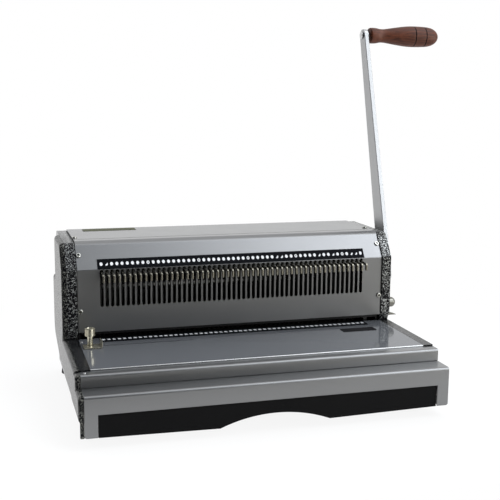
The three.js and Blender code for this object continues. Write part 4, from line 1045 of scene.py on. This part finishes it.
def make_feet():
    pattern = rod("foot", FOOT_R, (0, 0, 0), (0, 0, FOOT_H), 40)
    pick_corners(pattern, lambda place: place.z > FOOT_H - 0.1)
    share = FOOT_TOP_R / FOOT_R
    bpy.ops.transform.resize(value=(share, share, 1), center_override=(0, 0, FOOT_H))
    close_mesh()
    round_off(pattern, edges(z=0), 1.2, 4)
    for thickness, depth in ((3.5, 0), (0.4, -1.5)):
        step_in(pattern, lambda middle, normal: normal.z < -0.9 and off_axis(middle) < 1, thickness, depth)
    smooth(pattern, 40)
    for side, name in SIDES:
        for end, y in (("front", FOOT_FRONT_Y), ("rear", COVER_REAR - FOOT_REAR_IN)):
            foot = copy_of(pattern, f"foot_{end}_{name}_rubber", (side * (CASE_OUT - FOOT_SIDE_IN), y, 0))
            settle(foot, "frame", RUBBER, "foot_rubber", f"foot_{end}_{name}")
    bpy.data.objects.remove(pattern)


# Lever and grip: made upright along X and Z at the shaft, and then leaned

LEVER_TURN = Matrix.Rotation(-LEVER_LEAN, 3, "X")
PIVOT = Vector((0, PIVOT_Y, PIVOT_Z))
LEVER_END = PIVOT + LEVER_TURN @ Vector((0, 0, LEVER_LENGTH))


def make_lever_bar():
    """A round blank whose upper half is drawn out to the tip, and narrowed there."""
    bar = rod_x("lever_flat_bar", LEVER_ROOT_R, LEVER_IN, LEVER_OUT, 64)
    pick_corners(bar, lambda place: place.z > 0.01)
    share = LEVER_TIP_R / LEVER_ROOT_R
    bpy.ops.transform.resize(value=(1, share, share), center_override=(LEVER_IN, 0, 0))
    bpy.ops.transform.translate(value=(0, 0, LEVER_LENGTH))
    close_mesh()
    round_off(bar, lambda middle, way: near(middle.x, LEVER_IN) or near(middle.x, LEVER_OUT), 0.8, 3)
    deliver(bar, "lever", LEVER_SILVER, "lever_paint", "lever_bar", angle=40, at=PIVOT, turn=LEVER_TURN)


def make_hub():
    hub = rod_x("lever_hub_turned", HUB_R, CASE_OUT + GAP, LEVER_IN - GAP, 56)
    carve(hub, rod_x("hub_bore", SHAFT_R + GAP, CASE_OUT - 2, LEVER_IN + 2, 40))
    deliver(hub, "lever", DARK, "dark_steel", "lever_hub", width=0.5, angle=40, at=PIVOT, turn=LEVER_TURN)


def make_bolt():
    """A low flat head with a countersunk socket."""
    seat = LEVER_OUT + GAP
    head = rod_x("lever_bolt_head", BOLT_R, seat, seat + BOLT_H, 56)
    round_off(head, edges(x=seat + BOLT_H), 0.9, 3)
    carve(head, rod_x("socket", 2.6, seat + 0.7, seat + 4, 6))
    deliver(head, "lever", DARK, "bright_steel", "lever_bolt", at=PIVOT, turn=LEVER_TURN)


def turned_piece(name, stations, sides=64):
    """A bar that is scored at each station and sized there, as on a lathe. Stations are (x, radius)."""
    piece = rod(name, 1, (stations[0][0], 0, 0), (stations[-1][0], 0, 0), sides)
    for x, _ in stations[1:-1]:
        score(piece, (x, 0, 0), (1, 0, 0))
    for x, radius in stations:
        pick_corners(piece, lambda place: near(place.x, x, 0.004))
        bpy.ops.transform.resize(value=(1, radius, radius), center_override=(x, 0, 0))
        close_mesh()
    return face_out(piece)


def curve_through(points, between):
    """More points on a smooth curve through the given ones, each (along, size)."""
    result = []
    for i in range(len(points) - 1):
        before = points[max(i - 1, 0)]
        here, there = points[i], points[i + 1]
        after = points[min(i + 2, len(points) - 1)]
        span = there[0] - here[0]
        slope_in = (there[1] - before[1]) / (there[0] - before[0])
        slope_out = (after[1] - here[1]) / (after[0] - here[0])
        for k in range(between):
            t = k / between
            size = ((2 * t ** 3 - 3 * t ** 2 + 1) * here[1] + (t ** 3 - 2 * t ** 2 + t) * span * slope_in
                    + (-2 * t ** 3 + 3 * t ** 2) * there[1] + (t ** 3 - t ** 2) * span * slope_out)
            result.append((here[0] + t * span, size))
    return result + [points[-1]]


def make_grip():
    swell = [(1.4, 10.3), (3, 10.75), (6.5, 10.8), (10.8, 10.5), (14.4, 9.8), (18, 9.25), (22, 9.3),
             (26.5, 9.8), (35, 11.1), (44.5, 12.5), (55, 13.8), (62, 14.3), (66.3, 14.4)]
    waist = [(68.1, 14.4), (76, 14.3), (82.7, 14.0)]
    end = [(84.5, 13.9), (90, 13.4), (95.5, 12.1), (99.5, 10.2), (102.6, 7.8), (104.8, 4.9), (105.7, 2.4)]
    shape = [(0, 8.6), (0.5, 9.6), *curve_through(swell, 2), (FIRST_GROOVE, 13.4), *curve_through(waist, 2),
             (SECOND_GROOVE, 13.0), *curve_through(end, 2), (GRIP_LENGTH, 0.6)]
    grip = turned_piece("wood_grip_turned", [(GRIP_START + x, r) for x, r in shape])
    bore = rod_x("stud_bore", STUD_R + GAP, GRIP_START - 2, GRIP_START + STUD_IN + GAP, 32)
    carve(grip, bore)
    deliver(grip, "grip", WOOD, "grip_wood", "wood_grip", angle=50, at=LEVER_END, turn=LEVER_TURN)


def make_stud():
    stud = turned_piece("grip_stud_turned", [
        (LEVER_IN - 2.3, 3.4), (LEVER_IN - 2.1, 4.2), (LEVER_IN - 1.5, 5), (LEVER_IN - 0.35, 5),
        (LEVER_IN - 0.3, 3), (LEVER_OUT + 0.3, 3), (LEVER_OUT + 0.35, 5), (GRIP_START - 0.4, 5),
        (GRIP_START - 0.35, 3), (GRIP_START + STUD_IN - 0.5, 3), (GRIP_START + STUD_IN, 2.5)], 40)
    deliver(stud, "lever", STEEL, "bright_steel", "grip_stud", angle=40, at=LEVER_END, turn=LEVER_TURN)


# Edge guide, knob and pointer

def make_guide_bracket():
    front = GUIDE_Y + 4 - GUIDE_DEPTH
    bracket = trace("edge_guide_angle", [
        (GUIDE_LEFT, front, GUIDE_SEAT), (GUIDE_RIGHT, front, GUIDE_SEAT),
        (GUIDE_RIGHT, front, GUIDE_SEAT + GUIDE_UP)])
    draw_out(bracket, (0, GUIDE_DEPTH, 0))
    face_out(bracket, lambda middle: middle.x < GUIDE_RIGHT - 1, -UP)
    round_off(bracket, edges("y", x=GUIDE_RIGHT, z=GUIDE_SEAT), 2.2, 5)
    thicken(bracket, GUIDE_T)
    carve(bracket, rod("screw_hole", 1.8, (GUIDE_X, GUIDE_Y, GUIDE_SEAT - 2),
                       (GUIDE_X, GUIDE_Y, GUIDE_SEAT + 4), 24))
    deliver(bracket, "edge_guide", ZINC, "tab_brass", "edge_guide_bracket", width=0.3)


def knurled(name, radius, start, end, count, depth=0.35):
    """A round bar along Z whose side is grooved all round."""
    bar = rod(name, radius, (0, 0, start), (0, 0, end), count * 3)
    step = 2 * pi / (count * 3)
    pick_faces(bar, lambda middle, normal: abs(normal.z) < 0.5
               and round((atan2(middle.y, middle.x) / step) - 0.5) % 3 == 0)
    bpy.ops.mesh.extrude_region_shrink_fatten(TRANSFORM_OT_shrink_fatten={"value": -depth})
    close_mesh()
    return bar


def make_thumb_screw():
    seat = GUIDE_SEAT + GUIDE_T + GAP
    neck = seat + THUMB_NECK
    top = neck + THUMB_H
    head = knurled("thumb_screw_turned", THUMB_R, neck, top, 24)
    round_off(head, lambda middle, way: near(middle.z, top) and off_axis(middle) > 5.2, 0.35, 2)
    for thickness, depth in ((0.9, 0), (0.3, -0.5)):
        step_in(head, lambda middle, normal: normal.z > 0.9 and near(middle.z, top, 0.1)
                and off_axis(middle) < 1, thickness, depth)
    stem = rod("stem", 3.2, (0, 0, seat), (0, 0, neck + 0.5), 32)
    round_off(stem, edges(z=seat), 0.5, 2)
    shank = rod("shank", 1.5, (0, 0, TABLE_TOP - TABLE_T - GAP - 3), (0, 0, seat + 0.5), 24)
    carve(head, stem, shank, union=True)
    deliver(head, "guide_screw", ZINC, "tab_brass", "edge_guide_thumb_screw", at=(GUIDE_X, GUIDE_Y, 0))


def make_pointer():
    """A blade that leans out of the casing and tapers to its tip."""
    start = CASE_OUT + GAP
    low, front = COVER_BOTTOM - 3.8, KNOB_Y - 7
    pointer = block("depth_pointer_blade", (start, front, low),
                    (start + POINTER_L, front + POINTER_W, low + POINTER_H))
    pick_corners(pointer, lambda place: near(place.x, start + POINTER_L) and near(place.z, low + POINTER_H))
    bpy.ops.transform.translate(value=(0, 0, -POINTER_DROP))
    close_mesh()
    deliver(pointer, "frame", DULL_STEEL, "bright_steel", "depth_pointer", width=0.25)


def make_small_gear(start, end):
    """Twelve teeth: every second facet of a blank is drawn out and narrowed."""
    teeth = 12
    gear = rod_x("small_gear", 3.9, start, end, 2 * teeth)
    step = pi / teeth
    pick_faces(gear, lambda middle, normal: abs(normal.x) < 0.5
               and (atan2(middle.z, middle.y) / step + 0.25) // 1 % 2 == 0)
    bpy.ops.mesh.extrude_region_shrink_fatten(TRANSFORM_OT_shrink_fatten={"value": 1.4})
    close_mesh()
    return gear


def make_knob():
    start = CASE_OUT + GAP
    grip = knurled("depth_knob_turned", KNOB_R, start, start + KNOB_L * 0.7, 18, 0.4)
    placed(grip, (0, 0, 0), Matrix.Rotation(pi / 2, 3, "Y"))
    dome = turned_piece("dome", [(start + KNOB_L * share, KNOB_R * size) for share, size in (
        (0.6, 0.9), (0.72, 0.93), (0.8, 0.88), (0.88, 0.76), (0.95, 0.55), (0.99, 0.3), (1, 0.05))], 40)
    gear_in = COVER_HALF - SHEET - 19
    gear = make_small_gear(gear_in, gear_in + 5)
    shaft = rod_x("shaft", KNOB_SHAFT_R, gear_in, start + 1, 24)
    carve(grip, dome, shaft, gear, union=True)
    deliver(grip, "depth_control", DULL_STEEL, "bright_steel", "depth_knob", at=(0, KNOB_Y, KNOB_Z))


# Pull tabs

def make_tab():
    """One tab at the middle: an arm through the slot, turned down at its tip."""
    inner, tip_top, tip_low = TAB_TIP + TAB_TIP_T, TAB_TOP - 1.2, TAB_LOW - TAB_DROP
    tab = drawn_along_x("tab", 0, TAB_T, [
        (TAB_BACK, TAB_LOW), (TAB_BACK, TAB_TOP), (TAB_TIP, tip_top), (TAB_TIP, tip_low),
        (inner, tip_low), (inner, TAB_LOW - 0.9)], closed=True)
    round_off(tab, edges("x", 0.1, y=TAB_TIP, z=tip_top), 2.9, 7)
    round_off(tab, edges("x", 0.1, y=inner, z=TAB_LOW - 0.9), 0.8, 2)
    smooth(ease(tab, 0.3), 40)
    return placed(tab, (-TAB_T / 2, 0, 0))


def make_tabs():
    pattern = make_tab()
    fixed = [block("pull_tab_bar", (-ROW_HALF - 1, TAB_BACK - 0.4, TAB_LOW),
                   (ROW_HALF + 1, TAB_BACK + 3, TAB_TOP))]
    for number in range(1, PUNCHES + 1):
        x = punch_x(number)
        if number in SINGLE_TABS:
            tab = copy_of(pattern, f"single_tab_{number:02d}", (x, -GAP - 0.4, 0))
            settle(tab, f"tab_{number:02d}", TAB_ZINC, "tab_brass", f"pull_tab_{number:02d}")
        else:
            fixed.append(copy_of(pattern, f"tab_{number:02d}_copy", (x, 0, 0)))
    bpy.data.objects.remove(pattern)
    comb = join("pull_tab_comb_plated", fixed)
    settle(comb, "ram", TAB_ZINC, "tab_brass", "pull_tab_comb")


# Drawer

def make_drawer():
    radius = (ARCH_HALF ** 2 + ARCH_H ** 2) / (2 * ARCH_H)
    low = DRAWER_BOTTOM - ARCH_SAG
    panel = trace("chip_drawer_moulding", [(x, DRAWER_RECESS, z) for x, z in (
        (-DRAWER_HALF, DRAWER_BOTTOM), (-ARCH_HALF, low), (ARCH_HALF, low), (DRAWER_HALF, DRAWER_BOTTOM),
        (DRAWER_HALF, DRAWER_TOP), (-DRAWER_HALF, DRAWER_TOP))], closed=True)
    draw_out(panel, (0, DRAWER_BACK - DRAWER_RECESS, 0))
    face_out(panel)
    middle = low + ARCH_H - radius
    carve(panel, rod("arch", radius, (0, DRAWER_RECESS - 2, middle), (0, DRAWER_BACK + 2, middle), 256))
    # Simple faces on the front, so that the arched edge shades well
    for x in (-ARCH_HALF, 0, ARCH_HALF):
        score(panel, (x, 0, 0), (1, 0, 0))
    ease(panel, 0.5, 3)
    tray = block("tray", (-TRAY_HALF, DRAWER_BACK - 0.2, TRAY_BOTTOM), (TRAY_HALF, TRAY_REAR, TRAY_TOP))
    step_in(tray, lambda place, normal: normal.z > 0.9, TRAY_WALL, 0)
    push_faces(tray, lambda place, normal: normal.z > 0.9 and abs(place.x) < 1 and abs(place.y - 104) < 20,
               (0, 0, TRAY_WALL - TRAY_H))
    pieces = [panel, ease(tray, 0.4)]
    for side in (-1, 1):
        x0, x1 = sorted((side * (TRAY_HALF - 0.5), side * (TRAY_HALF + TRAY_FLANGE)))
        flange = block("flange", (x0, RAIL_Y, TRAY_TOP - TRAY_WALL), (x1, TRAY_REAR, TRAY_TOP))
        pieces.append(ease(flange, 0.3))
    drawer = join("chip_drawer_moulding", pieces)
    deliver(drawer, "drawer", BLACK, "black_plastic", "chip_drawer")


make_top_cover()
make_rear_cover()
for side, name in SIDES:
    make_side_casing(side, name)
make_outer_cover()
make_fascia()
make_rail()
make_table()
make_label("table_name_plate", (128, 123), (173, 138), TABLE_TOP, 0.45, 1.5, 5, 0.12, PLATE)
make_table_screw()
make_label("top_rear_label", (-178, 272), (-109, 290), COVER_TOP, 0.3, 1.0, 4, 0.1, REAR_PLATE)
make_screws()
make_feet()
make_lever_bar()
make_hub()
make_bolt()
make_grip()
make_stud()
make_guide_bracket()
make_thumb_screw()
make_pointer()
make_knob()
make_tabs()
make_drawer()

# Finishes of the frame's own pieces that stay

STAYS = (
    (DARK, "base_plate", "left_drawer_runner", "right_drawer_runner", "back_gauge"),
    # The press inside the covers takes the near-black steel of painted shade
    (PAINTED_SHADE_INSIDE, "left_frame_plate", "right_frame_plate", "press_beam", "left_pinion", "right_pinion",
     "die_plate", "punch_guide_plate", "punch_row"),
    (STEEL, "main_shaft", "left_rack", "right_rack", "left_guide_rod", "right_guide_rod", "edge_guide_nut"),
    (BRONZE, "left_shaft_bush", "right_shaft_bush"),
    (DOTS, "number_strip"),
    (DASHES, "table_dot_strip"),
)
for finish, *nodes in STAYS:
    for node in nodes:
        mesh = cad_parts[node].data
        mesh.materials.clear()
        mesh.materials.append(finish)


# Floor, light and camera, in the frame's metres

FLOOR_TONE = 0.95
FLOOR_WHITE = 0.9
FLOOR_FRONT = -0.34
FLOOR_SIDE = 15
# Where the floor starts to turn plain white for the eye, and where it is white, from the middle
FLOOR_FADE = (0.28, 0.62)
SWEEP_AIM = (0, 1, 0.25)
SWEEP_EDGE = (-0.1, 0.45)
SWEEP_LEVEL = 1.08
ROOM_LEVEL = 0.004
# Light from below the eye is a little warm, and from above a little cool
WARM_LIGHT = (1.02, 1.0, 0.93)
COOL_LIGHT = (0.96, 1.0, 1.05)
COOL_ABOVE = (-0.15, 0.5)
WHITE = (1.0, 1.0, 1.0)
# Each soft box: its bearing from the front to the right and its height, its bright and its faded
# radius, all in degrees, and its level
SOFT_BOXES = (
    (45, 15, 6, 26, 3.75),
    (45, 35, 6, 26, 2.43),
    (65, 55, 6, 26, 3.67),
    (85, 55, 6, 26, 0.49),
    (30, -12, 8, 30, 0.48),
    (60, -12, 8, 30, 4.8),
    (150, 60, 8, 35, 1.39),
    (30, 75, 8, 30, 0.75),
)
CAMERA_PLACE = (-0.3637, -1.0849, 0.372)
CAMERA_TURNS = (16.42, 9.72, 0.53)
SENSOR = 36
FOCAL_PIXELS = 926.3
PHOTO_PIXELS = 500


def seen_directly(bench):
    """Three values that are 1 for the eye, for what metal mirrors and for what shows through glass."""
    path = bench.add("ShaderNodeLightPath", out="Is Camera Ray")
    sockets = path.socket.node.outputs
    return [Wire(bench, sockets[name]) for name in ("Is Camera Ray", "Is Glossy Ray", "Is Transmission Ray")]


def make_floor():
    """A pale tabletop that ends in front of the machine. To the eye and in metal it turns white
    away from the machine, so that only its shadow shows."""
    bpy.ops.mesh.primitive_plane_add(size=1, location=(0, FLOOR_FRONT + FLOOR_SIDE / 2, 0))
    floor = bpy.context.object
    floor.scale = (2 * FLOOR_SIDE, FLOOR_SIDE, 1)
    floor.name = "studio_floor"
    apply_place(floor)
    paint = Bench(bpy.data.materials.new("pale_floor_paint"))
    camera, mirrored, clear = seen_directly(paint)
    place = paint.add("ShaderNodeTexCoord", out="Object")
    away = paint.add("ShaderNodeVectorMath", {"operation": "LENGTH"}, {0: place}, out="Value")
    white_share = away.rise(*FLOOR_FADE) * (1 - FLOOR_WHITE) + FLOOR_WHITE
    pale = paint.add("ShaderNodeBsdfDiffuse", {}, {"Color": grey(FLOOR_TONE)})
    white = paint.add("ShaderNodeEmission", {}, {"Color": WHITE, "Strength": 1.0})
    seen = camera.most(clear).most(mirrored)
    both = paint.add("ShaderNodeMixShader", {}, {0: seen * white_share, 1: pale, 2: white})
    paint.add("ShaderNodeOutputMaterial", {}, {"Surface": both}, out=None)
    floor.data.materials.append(paint.block)


def make_studio():
    """A white sweep behind and over the machine, and a dim room in front with soft boxes in it."""
    world = bpy.data.worlds.new("soft_studio")
    bpy.context.scene.world = world
    room = Bench(world)
    way = room.add("ShaderNodeTexCoord", out="Generated")

    def toward(direction):
        return room.add("ShaderNodeVectorMath", {"operation": "DOT_PRODUCT"}, {
            0: way, 1: tuple(Vector(direction).normalized())}, out="Value")

    sweep = toward(SWEEP_AIM).rise(*SWEEP_EDGE)
    light = sweep * (SWEEP_LEVEL - ROOM_LEVEL) + ROOM_LEVEL
    for *angles, level in SOFT_BOXES:
        bearing, height, inner, outer = map(radians, angles)
        aside = cos(height)
        box = toward((sin(bearing) * aside, -cos(bearing) * aside, sin(height)))
        light = light + box.rise(cos(outer), cos(inner)) * level
    camera, mirrored, clear = seen_directly(room)
    direct = camera.most(clear).most(mirrored * sweep)
    strength = direct + (1 - direct) * light
    tint = room.blend(toward(UP).rise(*COOL_ABOVE), WARM_LIGHT, COOL_LIGHT)
    color = room.blend(direct, tint, WHITE)
    sky = room.add("ShaderNodeBackground", {}, {"Color": color, "Strength": strength})
    room.add("ShaderNodeOutputWorld", {}, {"Surface": sky}, out=None)


def make_camera():
    yaw, pitch, roll = map(radians, CAMERA_TURNS)
    ahead = Vector((sin(yaw) * cos(pitch), cos(yaw) * cos(pitch), -sin(pitch)))
    level = Vector((cos(yaw), -sin(yaw), 0))
    above = level.cross(ahead)
    right = level * cos(roll) + above * sin(roll)
    up = above * cos(roll) - level * sin(roll)
    lens = bpy.data.cameras.new("camera")
    lens.sensor_width = SENSOR
    lens.lens = FOCAL_PIXELS / PHOTO_PIXELS * SENSOR
    lens.clip_end = 50
    camera = bpy.data.objects.new("camera", lens)
    bpy.context.scene.collection.objects.link(camera)
    turn = Matrix((right, up, -ahead)).transposed()
    camera.matrix_world = Matrix.Translation(CAMERA_PLACE) @ turn.to_4x4()
    bpy.context.scene.camera = camera


make_floor()
make_studio()
make_camera()
bpy.context.scene.view_settings.view_transform = "Standard"
